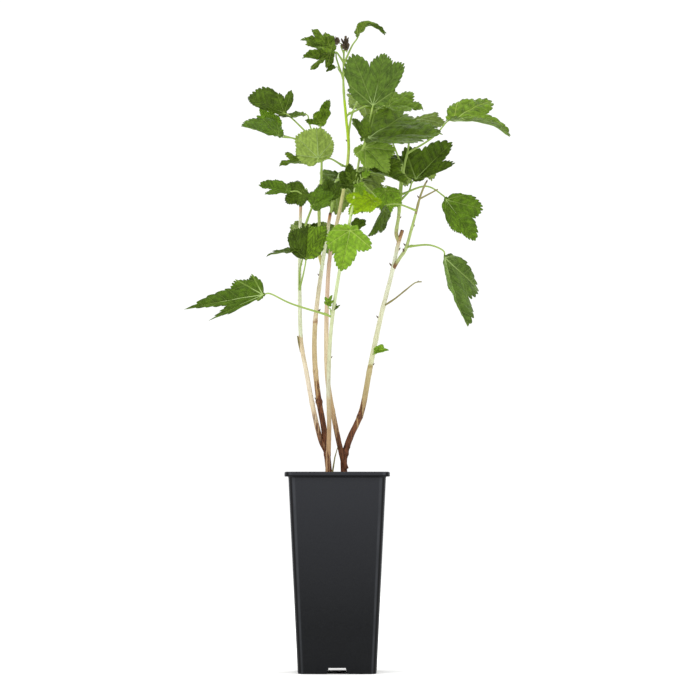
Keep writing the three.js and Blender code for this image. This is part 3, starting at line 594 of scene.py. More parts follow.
def barkMaterial(name, stops, peel, rough):
    # Currant bark: thin, smooth, peeling in fine lengthwise fibres, with small raised pores
    material, tree, shader, where = newMaterial(name)
    height = addNode(tree, "ShaderNodeSeparateXYZ", {0: where})
    blotch = addNode(tree, "ShaderNodeTexNoise", {"Vector": where, "Scale": 90.0, "Detail": 3.0})
    wander = addNode(tree, "ShaderNodeMath", {
        0: blotch, 1: 2 * drift * mm, 2: height.outputs["Z"]}, operation="MULTIPLY_ADD")
    climb = addNode(tree, "ShaderNodeMapRange", {
        "Value": wander, "From Min": (lowest + drift) * mm, "From Max": (highest + drift) * mm})
    ramp = addNode(tree, "ShaderNodeValToRGB", {0: climb})
    marks = ramp.color_ramp.elements
    while len(marks) < len(stops):
        marks.new(0.5)
    for mark, (z, code) in zip(marks, stops):
        mark.position = (z - lowest) / (highest - lowest)
        mark.color = linear(code)
    strands = []
    for across, along, detail, uneven in barkLook["strands"]:
        stretch = addNode(tree, "ShaderNodeMapping", {"Vector": where, "Scale": (across, across, along)})
        strands.append(addNode(tree, "ShaderNodeTexNoise", {
            "Vector": stretch, "Scale": 1.0, "Detail": detail, "Roughness": uneven}))
    fibre, strip = strands
    pore = addNode(tree, "ShaderNodeTexVoronoi", {  # pores about 5 mm apart
        "Vector": where, "Scale": 210.0})
    poreMask = addNode(tree, "ShaderNodeMapRange", {
        "Value": pore, "From Min": 0.1, "From Max": 0.2, "To Min": 0.4, "To Max": 0.0})
    fibreMask = addNode(tree, "ShaderNodeMapRange", {
        "Value": fibre, "From Min": 0.4, "From Max": 0.7, "To Min": 0.0, "To Max": 0.45})
    dark = addNode(tree, "ShaderNodeMix", {
        0: fibreMask, 6: ramp, 7: barkLook["fibre"]}, data_type="RGBA", blend_type="MULTIPLY")
    below = addNode(tree, "ShaderNodeMapRange", {
        "Value": height.outputs["Z"], "From Min": peel * mm, "From Max": (peel - barkLook["peelRun"]) * mm},
        clamp=False)
    held = addNode(tree, "ShaderNodeMath", {
        0: below, 1: barkLook["peelGain"], 2: strip}, operation="MULTIPLY_ADD")
    old = addNode(tree, "ShaderNodeMapRange", {
        "Value": held, "From Min": 0.53, "From Max": 0.61, "To Min": 0.0, "To Max": 0.92})
    worn = addNode(tree, "ShaderNodeMapRange", {"Value": fibre, "From Min": 0.36, "From Max": 0.64})
    brown = layerColours(tree, barkLook["strip"], (worn, barkLook["stripWorn"]))
    tone = layerColours(tree, dark, (old, brown), (poreMask, barkLook["pore"]))
    relief = addNode(tree, "ShaderNodeMath", {0: fibre, 1: old}, operation="ADD")
    bump = addNode(tree, "ShaderNodeBump", {"Strength": 0.5, "Distance": 0.0004, "Height": relief})
    setInputs(tree, shader, {
        "Base Color": tone, "Roughness": rough, "Normal": bump, "IOR": 1.45, "Specular IOR Level": 0.22})
    return material


def makeLimb(name, limb):
    route = [list(place) for place in limb["route"]]
    foot = route[0][2]
    flares = foot < soil["top"] + 1
    if flares:
        route[0][2] -= canes["sunk"]
    points, run = evenRoute(route, canes["step"])
    radii = limb["radii"][0] + (limb["radii"][1] - limb["radii"][0]) * (run / run[-1])
    if flares:
        near = np.maximum(0, 1 - (points[:, 2] - foot).clip(0) / canes["flareHeight"])
        radii = radii * (1 + canes["flareGain"] * near ** 2)
    else:
        radii = radii * (1 + canes["collarGain"] * np.exp(-run / canes["collarRun"]))
    for joint in limb["joints"]:
        swell = limb.get("knots", {}).get(joint, canes["nodeSwell"])
        radii = radii * (1 + swell * np.exp(-((run - joint * run[-1]) / canes["nodeRun"]) ** 2))
    ahead, normals, across = carriedFrames(points)
    turns = np.linspace(0, 2 * math.pi, canes["sides"], endpoint=False)
    waves = [(*canes["barkWaves"], limb["radii"][0]), (*canes["barkRipples"], 0)]
    rings = []
    for row, centre in enumerate(points):
        ring = []
        for turn in turns:
            x, y, z = math.cos(turn), math.sin(turn), centre[2]
            bark = sum(strength * noise.noise(Vector((around * x, around * y, along * z + shift)))
                       for around, along, strength, shift in waves)
            age = max(0.0, 1 - (z - soil["top"]) / canes["oldHeight"])
            reach = radii[row] * (1 + canes["ridge"] * (1 + canes["oldGain"] * age) * bark)
            ring.append(centre + normals[row] * reach * math.cos(turn) + across[row] * reach * math.sin(turn))
        rings.append(ring)
    last = np.array(rings[-1])
    middle = last.mean(axis=0)
    for inward, rise in canes["cutEnd"]:
        rings.append(list(middle + (last - middle) * inward + ahead[-1] * rise))
    rough = canes["rough"][limb["slot"]]
    bark = barkMaterial("bark of " + name.replace("_", " "), limb["stops"], limb["peel"], rough)
    finishPiece(plainObject("bark_" + name, *loftRings(rings), bark), [name])


for name, limb in limbs.items():
    makeLimb(name, limb)
print("canes made")


# Leaves. Half of a blade's outline: angle from the midrib in degrees, reach as a share of the midrib,
# whether a tip, and the teeth up to the next turn
blade = {
    "turns": [(0, 1.0, True, 5), (22, 0.74, False, 4), (43, 0.84, True, 4), (61, 0.58, False, 3),
              (76, 0.56, True, 5), (115, 0.21, False, 4), (180, 0.06, False, 0)],
    "sinus": (22, 61),
    "lastLobe": 76,
    "mainVeins": (0, 43, 76),
    "perTooth": 6, "toothDepth": 0.047, "toothFullAt": 0.7,  # teeth are smaller nearer the heart
    "toothVary": 0.4, "toothVaryTurn": 0.8,
    "fullAtHeart": 1.15,  # how round the outline is behind the last lobe
    "rings": 11, "ringPower": 0.92,
    "smallUnder": 24,  # mm: smaller blades have half the rings
    "thickness": 0.4, "edgeThinner": 0.5,
    "ripple": 0.035, "rippleWaves": 5,
    "edgeWave": 0.014, "edgeWaves": 11,
    "quilt": 0.02, "quiltRun": 0.06, "quiltFade": 0.5,
    "pucker": 0.011, "puckerRun": 0.08,
    "crumpleGain": 2.2, "crumpleScale": 5.5, "crumpleFullAt": 1 / 3,
    "sideVeinSpacing": 0.15, "sideVeinSlant": 0.8, "sideVeinStagger": 0.37, "firstPhase": 20,
    "veinWidth": 0.0035, "veinGain": 0.010, "veinTaper": 0.75,  # a vein widens towards the heart
    "farthest": 60,  # vein widths, past which the distance to a vein is kept the same
    "ribRadius": 0.0105, "ribEnd": 0.12, "sideRib": 0.8, "ribSunk": 0.0004,
    "alike": ("young", "purple", "fresh"),  # as green below as above
}
petiole = {
    "radius": 0.95, "sides": 10, "step": 2.2,
    "least": 0.55, "fullAt": 90,  # small leaves have thinner stalks, down to this share
    "foot": 1.25, "taper": 0.5, "swelling": 0.5, "swellingRun": 3.0, "head": 0.15,
    "waist": 0.45,  # where the stalk's middle lies between its two ends
    # its last stretch: how far before the heart it comes in, and how far below the blade
    "heel": 3.0, "end": 0.8, "endUnder": 0.3, "into": 0.03, "under": 0.55,
}


# paintedLight: painted light above nought and painted shade below it, for each half of the blade
def leaf(on, base, aim, face, size, fold, curl, arch=4, spread=1, lobing=0, lobes=(None, None), tint="deep",
         crumple=0.016, full=1.45, paintedLight=0):
    pair = (lambda value: value if isinstance(value, (list, tuple)) else (value, value))
    return {"on": on, "base": np.array(base, float), "aim": aim, "face": face, "size": size,
            "fold": pair(fold), "curl": curl, "arch": arch, "spread": pair(spread),
            "lobing": lobing, "lobes": lobes, "tint": tint,
            "crumple": crumple, "full": full, "paintedLight": pair(paintedLight)}


def leafAxes(one):
    aim = unit(one["aim"])
    side = unit(np.cross(one["face"], aim))
    return aim, side, np.cross(aim, side)


def warped(angle, spread):  # the outline's angle once the lobes are swung by the spread
    last = blade["lastLobe"]
    return angle * spread if angle <= last else 180 - (180 - angle) * (180 - last * spread) / (180 - last)


def bladePoints(one, reach, angle, lift=0.0):  # folded along the midrib, then curled down along it
    aim, side, face = leafAxes(one)
    out = one["size"] * reach
    along, across = out * np.cos(angle), out * np.sin(angle)
    fold = np.radians(np.where(across < 0, one["fold"][1], one["fold"][0]))
    curl = math.radians(one["curl"]) / one["size"] + 1e-6
    ripple = np.sin(blade["rippleWaves"] * angle + one["base"][0])
    ripple = ripple * blade["ripple"] * one["size"] * reach ** 2
    lift = np.abs(across) * np.sin(fold) + ripple + lift
    bend = curl * along
    forward = np.sin(bend) / curl + lift * np.sin(bend)
    rise = (np.cos(bend) - 1) / curl + lift * np.cos(bend)
    return (one["base"] + aim * forward[..., None] + side * (across * np.cos(fold))[..., None]
            + face * rise[..., None])


def halfOutline(one, way):  # angle, reach and home angle of each spoke on one side
    turns = blade["turns"]
    reaches = [reach * (1 - one["lobing"]) if home in blade["sinus"] else reach
               for home, reach, _, _ in turns]
    own = one["lobes"][0 if way > 0 else 1]
    if own:
        reaches[1:1 + len(own)] = own
    reaches[-1] = min(reaches[-2:])
    spokes = []
    for (a0, _, tip0, teeth), (a1, _, tip1, _), r0, r1 in zip(turns, turns[1:], reaches, reaches[1:]):
        phase0 = 0.0 if tip0 else 0.5
        phase1 = teeth if tip1 else teeth - 0.5
        count = int(round((phase1 - phase0) * blade["perTooth"]))
        power = one["full"] if a1 <= blade["lastLobe"] else blade["fullAtHeart"]
        for step in range(count):
            share = step / count
            bulge = share ** power if r0 > r1 else 1 - (1 - share) ** power
            reach = r0 + (r1 - r0) * bulge
            tooth = abs(math.cos(math.pi * (phase0 + (phase1 - phase0) * share)))
            home = a0 + (a1 - a0) * share
            depth = blade["toothDepth"] * (1 + blade["toothVary"] * math.sin(
                blade["toothVaryTurn"] * home + one["base"][2]))
            reach -= depth * (1 - tooth) * min(1.0, reach / blade["toothFullAt"])
            spokes.append((warped(home, one["spread"][0 if way > 0 else 1]) * way, reach, home))
    spokes.append((180.0 * way, reaches[-1], 180.0))
    return spokes


def growBlade(one, pile, ribs, chance):
    left, right = halfOutline(one, 1), halfOutline(one, -1)
    spokes = np.array(left + right[1:-1][::-1])
    angle, edge, home = np.radians(spokes[:, 0]), spokes[:, 1], np.radians(spokes[:, 2])
    rings = blade["rings"] if one["size"] > blade["smallUnder"] else blade["rings"] // 2
    shares = (np.arange(1, rings + 1) / rings) ** blade["ringPower"]
    reach = shares[:, None] * edge[None, :]
    # how far each point lies from the nearest main vein, and where along the side veins
    veins = np.radians(blade["mainVeins"])
    gap = np.abs(home[None, :] - veins[:, None])
    nearest = gap.argmin(axis=0)
    off = gap.min(axis=0)
    away = reach * np.sin(np.minimum(off, math.pi / 2))[None, :]
    ahead = reach * np.cos(off)[None, :]
    phase = (ahead - blade["sideVeinSlant"] * away) / blade["sideVeinSpacing"]
    phase = phase + blade["sideVeinStagger"] * nearest[None, :] + blade["firstPhase"]
    width = blade["veinWidth"] + blade["veinGain"] * (1 - blade["veinTaper"] * np.clip(ahead, 0, 1))
    outward = shares[:, None] ** 3
    quilt = blade["quilt"] * (1 - np.exp(-(away / blade["quiltRun"]) ** 2))
    quilt = quilt * (1 - blade["quiltFade"] * outward)
    pucker = blade["pucker"] * (0.5 - 0.5 * np.cos(2 * math.pi * phase))
    pucker = pucker * np.minimum(1, away / blade["puckerRun"])
    wave = blade["edgeWave"] * outward * np.sin(blade["edgeWaves"] * angle + chance * 40)[None, :]
    lift = quilt + pucker + wave
    crumple = one["crumple"] * blade["crumpleGain"]
    for row in range(rings):
        for spoke, turn in enumerate(angle):
            out = reach[row, spoke]
            spot = Vector((out * math.cos(turn), out * math.sin(turn), chance * 9)) * blade["crumpleScale"]
            lift[row, spoke] += crumple * noise.noise(spot) * min(1.0, out / blade["crumpleFullAt"])
    middle = bladePoints(one, reach, np.broadcast_to(angle, reach.shape), lift * one["size"])
    heart = bladePoints(one, np.zeros(1), np.zeros(1))[0]
    inner = np.vstack([np.broadcast_to(heart, middle[0].shape)[None], middle[:-1]])
    outer = np.vstack([middle[1:], middle[-1:]])
    across = np.roll(middle, -1, axis=1) - np.roll(middle, 1, axis=1)
    normal = np.cross(outer - inner, across)
    normal /= np.linalg.norm(normal, axis=-1, keepdims=True) + 1e-9
    face = leafAxes(one)[2]
    half = blade["thickness"] / 2
    thinned = half * (1 - blade["edgeThinner"] * shares[:, None, None] ** 6)
    layers = []
    for way in (1, -1):
        layers.append(heart + face * half * way)
        layers.append((middle + normal * thinned * way).reshape(-1, 3))
    points = np.vstack([np.atleast_2d(part) for part in layers])
    count = len(angle)
    lower = 1 + rings * count
    lowerSlot = 0 if one["tint"] in blade["alike"] else 1
    faces, slots = [], []
    for spoke in range(count):
        beside = (spoke + 1) % count
        faces.append((0, 1 + spoke, 1 + beside))
        faces.append((lower, lower + 1 + beside, lower + 1 + spoke))
        slots += [0, lowerSlot]
        for row in range(rings - 1):
            a, b = 1 + row * count + spoke, 1 + row * count + beside
            faces.append((a, a + count, b + count, b))
            faces.append((lower + a, lower + b, lower + b + count, lower + a + count))
            slots += [0, lowerSlot]
        a, b = 1 + (rings - 1) * count + spoke, 1 + (rings - 1) * count + beside
        faces.append((a, lower + a, lower + b, b))
        slots.append(0)
    # each leaf's random tone plus its painted light and shade, per half of the blade
    shade = chance + np.where(np.sin(angle) < 0, one["paintedLight"][1], one["paintedLight"][0])[None, :] * np.ones_like(away)
    fromVein = np.minimum(away / width, blade["farthest"])
    layer = np.stack([fromVein, phase, shade], axis=-1).reshape(-1, 3)
    centre = [[0, blade["firstPhase"], chance]]
    marks = np.vstack([centre, layer, centre, layer])
    pile.add(points, faces, slots, marks)
    # the main veins stand out as ribs below the blade
    for vein in blade["mainVeins"]:
        for spoke in np.flatnonzero(np.abs(np.degrees(home) - vein) < 0.1):
            line = np.vstack([heart[None], middle[:-1, spoke]])
            below = np.vstack([face[None], normal[:-1, spoke]]) * (half + blade["ribSunk"] * one["size"])
            radii = np.linspace(blade["ribRadius"] * one["size"], 0, len(line)) + blade["ribEnd"]
            radii = radii * (1.0 if vein == 0 else blade["sideRib"])
            ribs.append((line - below, radii))


def growPetiole(one, start, stalks):
    aim, _, face = leafAxes(one)
    middle = start * petiole["waist"] + one["base"] * (1 - petiole["waist"]) + np.array([0, 0, one["arch"]])
    heel = one["base"] - aim * (one["size"] * blade["turns"][-1][1] + petiole["heel"])
    end = one["base"] + aim * one["size"] * petiole["into"] - face * petiole["under"]
    below = one["base"] - aim * petiole["end"] - face * petiole["endUnder"]
    points, run = evenRoute([start, middle, heel, below, end], petiole["step"])
    share = run / run[-1]
    radius = petiole["radius"] * min(1.0, petiole["least"] + one["size"] / petiole["fullAt"])
    swell = petiole["swelling"] * np.exp(-run / petiole["swellingRun"]) + petiole["head"] * share ** 8
    stalks.append((points, radius * (petiole["foot"] - petiole["taper"] * share + swell)))


# Sprays, each a stem with its leaves. One that names a tip goes on from that limb's end
sprays = {
    "leaf_low_left": {
        "route": [[-5.5, -31.5, 373], [-14, -34, 377]], "radii": [1.2, 1.1],
        "leaves": [leaf(0.6, [-77.6, -46, 395.8], [-0.98, -0.12, -0.15], [0, -0.9, 0.43], 84, 10, 8, 0,
            [0.43, 0.95], 0, [[0.49, 0.77, 0.5, 0.13, 0.03], [0.42, 0.4, 0.27, 0.31, 0.03]], tint="mid",
            full=0.75, paintedLight=-0.9),
            leaf(0.03, [-9, -36, 386], [0.3, -0.3, 0.9], [-0.2, -0.8, 0.3], 11, 30, 12, 2, 1, 0.3,
                tint="lime", crumple=0.05),
            leaf(0.02, [-3, -33, 381], [0.7, -0.2, 0.6], [-0.4, -0.7, 0.4], 8, 34, 12, 2, 0.8, 0.3,
                tint="young", crumple=0.05)],
    },
    "leaf_left": {
        "route": [[-40, 18.5, 402], [-40, 14, 408]], "radii": [1.2, 1.1],
        "leaves": [
            leaf(0.5, [-33, -20, 435], [0.08, 0.04, 0.97], [0.1, -0.97, 0.1], 36, [12, 10], 12, -3,
                [0.75, 0.62], 0, [[0.93, 0.93, 0.85, 0.66, 0.05], [1, 1.12, 0.92, 0.7, 0.05]],
                paintedLight=(-1, 2.8)),
            leaf(0.5, [-39, -14, 444.5], [-0.99, -0.1, -0.1], [0, -0.22, 0.97], 37, 4, 6, -2, 0.5),
        ],
    },
    "spray_left": {
        "route": [[-39.5, 23, 450], [-34, 16, 472], [-26, 8, 493], [-19, 4, 510]], "radii": [1.4, 1],
        "leaves": [
            leaf(0.68, [-53, -2, 508.3], [-0.96, -0.15, 0.25], [0.05, -0.8, 0.6], 31, 14, 14, 5, [0.82, 1],
                0, [[0.58, 0.9, 0.35, 0.25], [0.6, 0.42, 0.3, 0.25]], tint="mid", crumple=0.03),
            leaf(0.68, [-36, 4, 508.5], [-0.8, -0.1, -0.52], [0.1, -0.9, 0.4], 23, 12, 14, 4, 1.25, 0,
                crumple=0.05),
            leaf(0.62, [-25, -6, 493], [0.75, -0.2, 0.45], [-0.2, -0.9, 0.4], 25, 20, 20, 2, tint="mid"),
            leaf(1, [-6, 2, 500], [-0.2, 0.25, 0.95], [0, -0.9, 0.3], 24, 25, 20, 3),
        ],
    },
    "spray_upper_left": {
        "tip": "shoot_upright",
        "route": [[-17.3, 43.3, 522.3], [-17, 43, 545], [-19, 43, 565], [-18, 42, 580]], "radii": [1.4, 0.9],
        "leaves": [
            leaf(0.3, [-40, 30, 540], [-1, -0.1, 0.06], [0, -0.6, 0.8], 23, 38, 30, 3, 1, 0.35, tint="young",
                crumple=0.06),
            leaf(0.55, [-57, 38, 593.8], [-0.9, -0.05, 0.44], [0.1, -0.95, 0.3], 43, 8, 12, 2, [0.4, 1.08],
                0, [[0.9, 0.62, 0.3, 0.2, 0.08], [0.88, 0.55, 0.4, 0.64, 0.08]], paintedLight=-0.7),
            leaf(0.55, [-36.5, 42, 592], [-0.97, 0.1, 0], [0, -0.35, 0.93], 29, 6, 8, 1, 0.5),
            leaf(0.4, [-62.5, 24, 568.6], [-0.955, -0.1, 0.297], [0, -0.5, 0.87], 41.5, 14, 10, 5, [0.5, 1],
                0, [[0.86, 0.58, 0.38, 0.28], [0.95, 0.68, 0.68, 0.52]], tint="mid", paintedLight=-0.6),
            leaf(0.4, [-66, 45, 576], [-0.55, 0.1, 0.83], [0.2, -0.93, 0.3], 31, 16, 10, 2, [0.55, 0.5],
                tint="lime", paintedLight=0.2),
            leaf(1, [-18.5, 34, 583.4], [0.4, -0.3, 0.92], [0.2, -0.9, 0.2], 27, 20, 16, 0, [1.3, 0.6], 0,
                [[0.5, 0.5, 0.35, 0.66], [0.65, 0.6, 0.4, 0.3]], tint="young", crumple=0.06, paintedLight=0.8),
        ],
    },
    "leaf_centre_left": {
        "route": [[10.5, -5.5, 533], [4, -14, 534]], "radii": [1.1, 1],
        "leaves": [leaf(0.7, [-20, -26, 541], [-0.05, -0.3, 0.95], [0, 0.95, 0.3], 33.5, 20, 10, 3, 1.1, 0,
            [[0.84, 0.72, 0.58, 0.48, 0.24], [0.95, 0.98, 0.8, 0.76, 0.5]], tint="light", crumple=0.03,
            paintedLight=1)],
    },
    "spray_top": {
        "tip": "cane_centre",
        "route": [[7.4, -3, 604.3], [6.4, -3, 623], [6.6, -3, 640], [7, -4, 656]], "radii": [1.4, 0.9],
        "leaves": [
            leaf(0.75, [-6, -14, 656], [-0.85, -0.2, 0.48], [0.1, -0.75, 0.6], 36, 24, 30, 3, 0.62, 0.1,
                tint="young", crumple=0.07),
            leaf(0.4, [-6.5, 2, 654], [-0.9, 0.1, -0.05], [0, -0.9, 0.4], 33, 12, 10, 6, 1, 0,
                [[0.4, 0.9, 0.35, 0.62], [0.5, 0.7, 0.4, 0.3]], tint="young", crumple=0.07),
            leaf(0.95, [1, -3, 665], [-0.9, 0, 0.3], [0.2, -0.8, 0.5], 13, 30, 30, 1, 0.7, 0.3,
                tint="purple", crumple=0.12),
            leaf(1, [10, -5, 658], [-0.1, -0.1, 0.9], [-0.3, -0.8, 0.3], 15, 40, 20, 0, 0.6, 0.3,
                tint="purple", crumple=0.12),
            leaf(0.7, [22.4, -8, 672.5], [0.4, -0.1, 0.9], [-0.8, -0.42, 0.35], 38, [14, 20], 138, 2, 0.75,
                0.1, [[0.6, 0.5, 0.38, 0.32, 0.12], [0.6, 0.5, 0.38, 0.32, 0.12]], tint="young",
                crumple=0.04, paintedLight=-0.7),
            leaf(0.45, [-3, -8, 638], [-0.85, -0.1, -0.3], [0, -0.6, 0.8], 10, 20, 20, 2, crumple=0.05),
        ],
    },
    "leaf_leader_right": {
        "route": [[9, -3, 586], [14, -4, 591]], "radii": [1.1, 1],
        "leaves": [leaf(0.7, [54.6, -30, 595.5], [0.98, -0.1, 0.02], [-0.1, -0.55, 0.8], 37, 18, 20, 5,
            tint="fresh", crumple=0.05, paintedLight=1)],
    },
    "spray_front_top": {
        "tip": "cane_front",
        "route": [[23.1, -13, 540.3], [27, -16, 552], [30, -24, 562]], "radii": [1.2, 1],
        "leaves": [
            leaf(1, [37.3, -60, 593], [0.22, -0.2, 0.955], [0, -0.97, -0.2], 56, 6, 8, 0, [0.81, 0.56], 0,
                [[0.78, 1.04, 0.92, 0.62, 0.05], [0.9, 0.98, 0.72, 0.42, 0.05]], tint="soft"),
            leaf(0.85, [26.5, -46, 561.5], [-0.42, 0.1, 0.9], [0.5, -0.7, 0.4], 23, 35, 20, 0),
            leaf(0.4, [32.8, -26, 561.5], [0.99, 0.04, 0.11], [0, -0.5, 0.87], 79, [10, 14], 10, 2, 1, 0,
                [[0.8, 0.8, 0.74, 0.56], [0.78, 0.75, 0.6, 0.4]], paintedLight=(0.7, 0.4)),
        ],
    },
    "spray_right": {
        "tip": "shoot_right",
        "route": [[66.6, 17.1, 496.3], [68, 18, 512], [71, 19, 535], [75, 21, 553], [78, 24, 574]],
        "radii": [1.6, 1],
        "leaves": [
            leaf(0.04, [83.5, 24, 522.5], [0.7, 0.1, 0.71], [0.15, -0.93, 0.3], 56, [10, 16], 8, -3,
                [1.5, 0.58], 0, [[0.58, 0.64, 0.3, 0.2, 0.07], [0.64, 0.81, 0.3, 0.18, 0.07]]),
            leaf(0.15, [115.3, 8, 499], [0.585, -0.15, -0.81], [0.25, -0.92, 0.3], 54, [12, 8], 8, 12,
                [0.95, 0.55], 0, [[0.67, 0.75, 0.62, 0.38, 0.06], [0.77, 0.7, 0.56, 0.32, 0.05]],
                tint="mid"),
            leaf(0.7, [124, 26, 584.7], [0.99, -0.05, 0.1], [0, -0.55, 0.84], 66, [11, 32], 46, -2,
                [1.05, 1], 0, [[0.58, 0.86, 0.6, 0.48], None], tint="young", paintedLight=(0.6, 0.1)),
            leaf(0.2, [51, 4, 509], [0.05, -0.25, -0.97], [0, -0.95, 0.2], 29, 8, 8, 3, tint="lime",
                paintedLight=0.5),
            leaf(0.45, [44, 22, 598], [0.35, -0.4, 0.6], [0, 0.75, 0.66], 32, 10, 10, 0, [1, 1.35], 0,
                [None, [0.74, 0.5, 0.5, 0.72]], tint="young", paintedLight=1.2),
            leaf(1, [84, 50, 588], [0.35, 0.9, -0.2], [0.1, 0.3, 0.95], 44, 18, 30, 4, tint="mid"),
        ],
    },
    "leaf_right_hanging": {
        "route": [[73.5, 0.5, 448], [79, -3, 450]], "radii": [1.2, 1.1],
        "leaves": [leaf(0.6, [113.2, -12, 436.5], [0.2, 0.05, -0.97], [0.35, -0.93, 0.1], 80, [-30, 58], -35,
            8, [1.2, 0.8], 0, [[0.64, 0.72, 0.48, 0.22, 0.04], [0.62, 0.6, 0.45, 0.24, 0.05]], tint="soft",
            paintedLight=(-0.2, 1.6))],
    },
    "spray_outer": {
        "tip": "shoot_outer",
        "route": [[83.1, -8.3, 484.3], [86.5, -10, 498], [90, -12, 508], [93.5, -12, 516]],
        "radii": [1.4, 0.9],
        "twigs": [(0.35, [106, -16, 508.5])], "bare": True,
        "leaves": [leaf(0.05, [49.5, -20, 487], [-0.45, -0.1, -0.9], [0.75, -0.6, 0.1], 34, [-15, 40], 12,
            6)],
    },
    "leaf_cane_right": {
        "route": [[38, 7.5, 338], [41, 0, 339]], "radii": [1, 0.9],
        "leaves": [leaf(0.8, [41, -2, 336], [0.95, -0.1, 0.3], [-0.2, -0.7, 0.7], 14, [66, 40], 15, 0,
            tint="lime", paintedLight=(0.6, 0.8))],
    },
    "twig_right": {
        "route": [[48.5, 9.5, 386], [61, 3, 394], [73, -2, 403.5], [82, -5, 410.3], [89, -6, 411.5]],
        "radii": [1.0, 0.6], "bare": True, "leaves": [],
    },
    "spray_centre": {
        "route": [[8.5, -6.5, 519], [16, -10, 523], [28, -12, 532], [35, -12, 540]], "radii": [1.3, 0.9],
        "leaves": [
            leaf(0.9, [28.6, -8.3, 553.2], [0.62, -0.35, -0.6], [0.1, -0.75, 0.65], 40, 16, 18, 4,
                tint="light", paintedLight=-0.8),
            leaf(0.7, [38, -10, 527], [0.92, -0.1, -0.2], [0, -0.6, 0.8], 38, 34, 20, 2, tint="young",
                paintedLight=-0.3),
            leaf(0.6, [16, -40, 516], [-0.5, -0.3, 0.7], [0.2, -0.9, 0.2], 12, 34, 18, 1, 1, 0.3,
                tint="young", crumple=0.07),
            leaf(0.5, [22, -42, 511], [0.3, -0.3, -0.8], [0.1, -0.9, 0.3], 13, 30, 18, 1, 1, 0.3,
                tint="lime", crumple=0.07),
            leaf(0.4, [28, -40, 520], [0.6, -0.2, 0.5], [-0.2, -0.9, 0.3], 10, 30, 18, 1, 0.8, 0.3,
                tint="lime", crumple=0.07),
            leaf(0.2, [11, -18, 512], [0.1, -0.35, 0.93], [0.1, -0.9, -0.2], 24, 36, 20, 0, crumple=0.05),
            leaf(0.3, [37, -26, 497.6], [-0.72, -0.5, -0.45], [-0.1, -0.7, 0.7], 34, 14, 16, 5,
                tint="bright"),
        ],
    },
    "leaf_front": {
        "route": [[12, -42, 468], [12.5, -47, 470]], "radii": [1.2, 1.1],
        "leaves": [leaf(0.5, [13.4, -56, 462.5], [-0.2, -0.35, -0.9], [0, -0.93, 0.38], 46, [12, 20], 14, 2,
            [1.35, 0.95], 0, [[0.56, 0.7, 0.33, 0.2], [0.72, 0.69, 0.6, 0.45]], tint="lime")],
    },
    "leaf_front_dark": {
        "route": [[11.5, -41.7, 464], [17, -38, 466]], "radii": [1, 0.9],
        "leaves": [leaf(0.7, [19, -36, 466], [0.7, 0.2, 0.65], [-0.2, -0.8, 0.5], 15, 25, 15, 0)],
    },
    "spray_back_left": {
        "route": [[-40, 22.5, 446], [-36, 34, 456], [-31, 50, 465], [-29, 64, 470]], "radii": [1.4, 1],
        "rule": {"seed": 2028, "count": 12, "out": 92, "centre": [-28, 84, 462], "room": [37, 88, 27]},
    },
    "spray_back_middle": {
        "tip": "cane_brown",
        "route": [[-7.1, 39.7, 487.6], [-5, 46, 500], [-4, 62, 516], [0, 78, 526]], "radii": [1.5, 1],
        "rule": {"seed": 1043, "count": 12, "out": 88, "centre": [8, 100, 520], "room": [48, 70, 40]},
    },
    "spray_back_right": {
        "route": [[65, 16, 484], [66, 30, 504], [68, 46, 526], [71, 60, 544]], "radii": [1.4, 1],
        "rule": {"seed": 3396, "count": 12, "out": 90, "centre": [76, 92, 550], "room": [46, 78, 36]},
    },
    "spray_back_top": {
        "route": [[12, -4, 553], [12.5, 12, 574], [17, 28, 596], [26, 44, 614]], "radii": [1.3, 0.9],
        "rule": {"seed": 3396, "count": 12, "out": 80, "centre": [40, 72, 622], "room": [38, 74, 36]},
    },
}
# The back sprays follow a rule: each leaf turns on from the last, and these runs are drawn from
growth = {
    "from": 0.45, "turn": 144, "firstTurn": 40, "sideTurn": 62, "arch": 5, "crumple": 0.025, "lean": 0.35,
    "drawn": {"climb": (0.1, 0.45), "stalk": (20, 32), "blade": (38, 50), "droop": (-0.25, -0.7),
              "fold": (14, 30), "curl": (20, 45)},
    "tints": ("mid", "deep", "fresh"),
}


def seeded(seed):  # numbers from 0 to 1, the same for the same seed
    state = seed
    while True:
        state = (state * 1664525 + 1013904223) % 4294967296
        yield state / 4294967296


def fits(one, rule):  # whether a blade's tips all lie inside its spray's room
    tips = [(turn * way, reach) for turn, reach, tip, _ in blade["turns"] if tip for way in (1, -1)]
    angle, reach = np.array(tips, float).T
    places = bladePoints(one, reach, np.radians(angle))
    return (np.linalg.norm((places - rule["centre"]) / rule["room"], axis=1) < 1).all()


def ruleLeaves(route, rule):
    chance = seeded(rule["seed"])
    leaves = []
    for number in range(rule["count"]):
        on = growth["from"] + (1 - growth["from"]) * number / (rule["count"] - 1)
        own = {key: low + (high - low) * next(chance) for key, (low, high) in growth["drawn"].items()}
        swing = math.sin(math.radians(growth["turn"] * number + growth["firstTurn"])) * growth["sideTurn"]
        heading = math.radians(rule["out"] + swing)
        away = unit((math.cos(heading), math.sin(heading), own["climb"]))
        upward = [growth["lean"] * away[0], growth["lean"] * away[1], 1]
        base = routePoint(route, on) + away * own["stalk"]
        grown = leaf(on, base, [away[0], away[1], own["droop"]], upward,
                     own["blade"], own["fold"], own["curl"], growth["arch"],
                     tint=growth["tints"][number % len(growth["tints"])], crumple=growth["crumple"])
        if fits(grown, rule):
            leaves.append(grown)
    return leaves
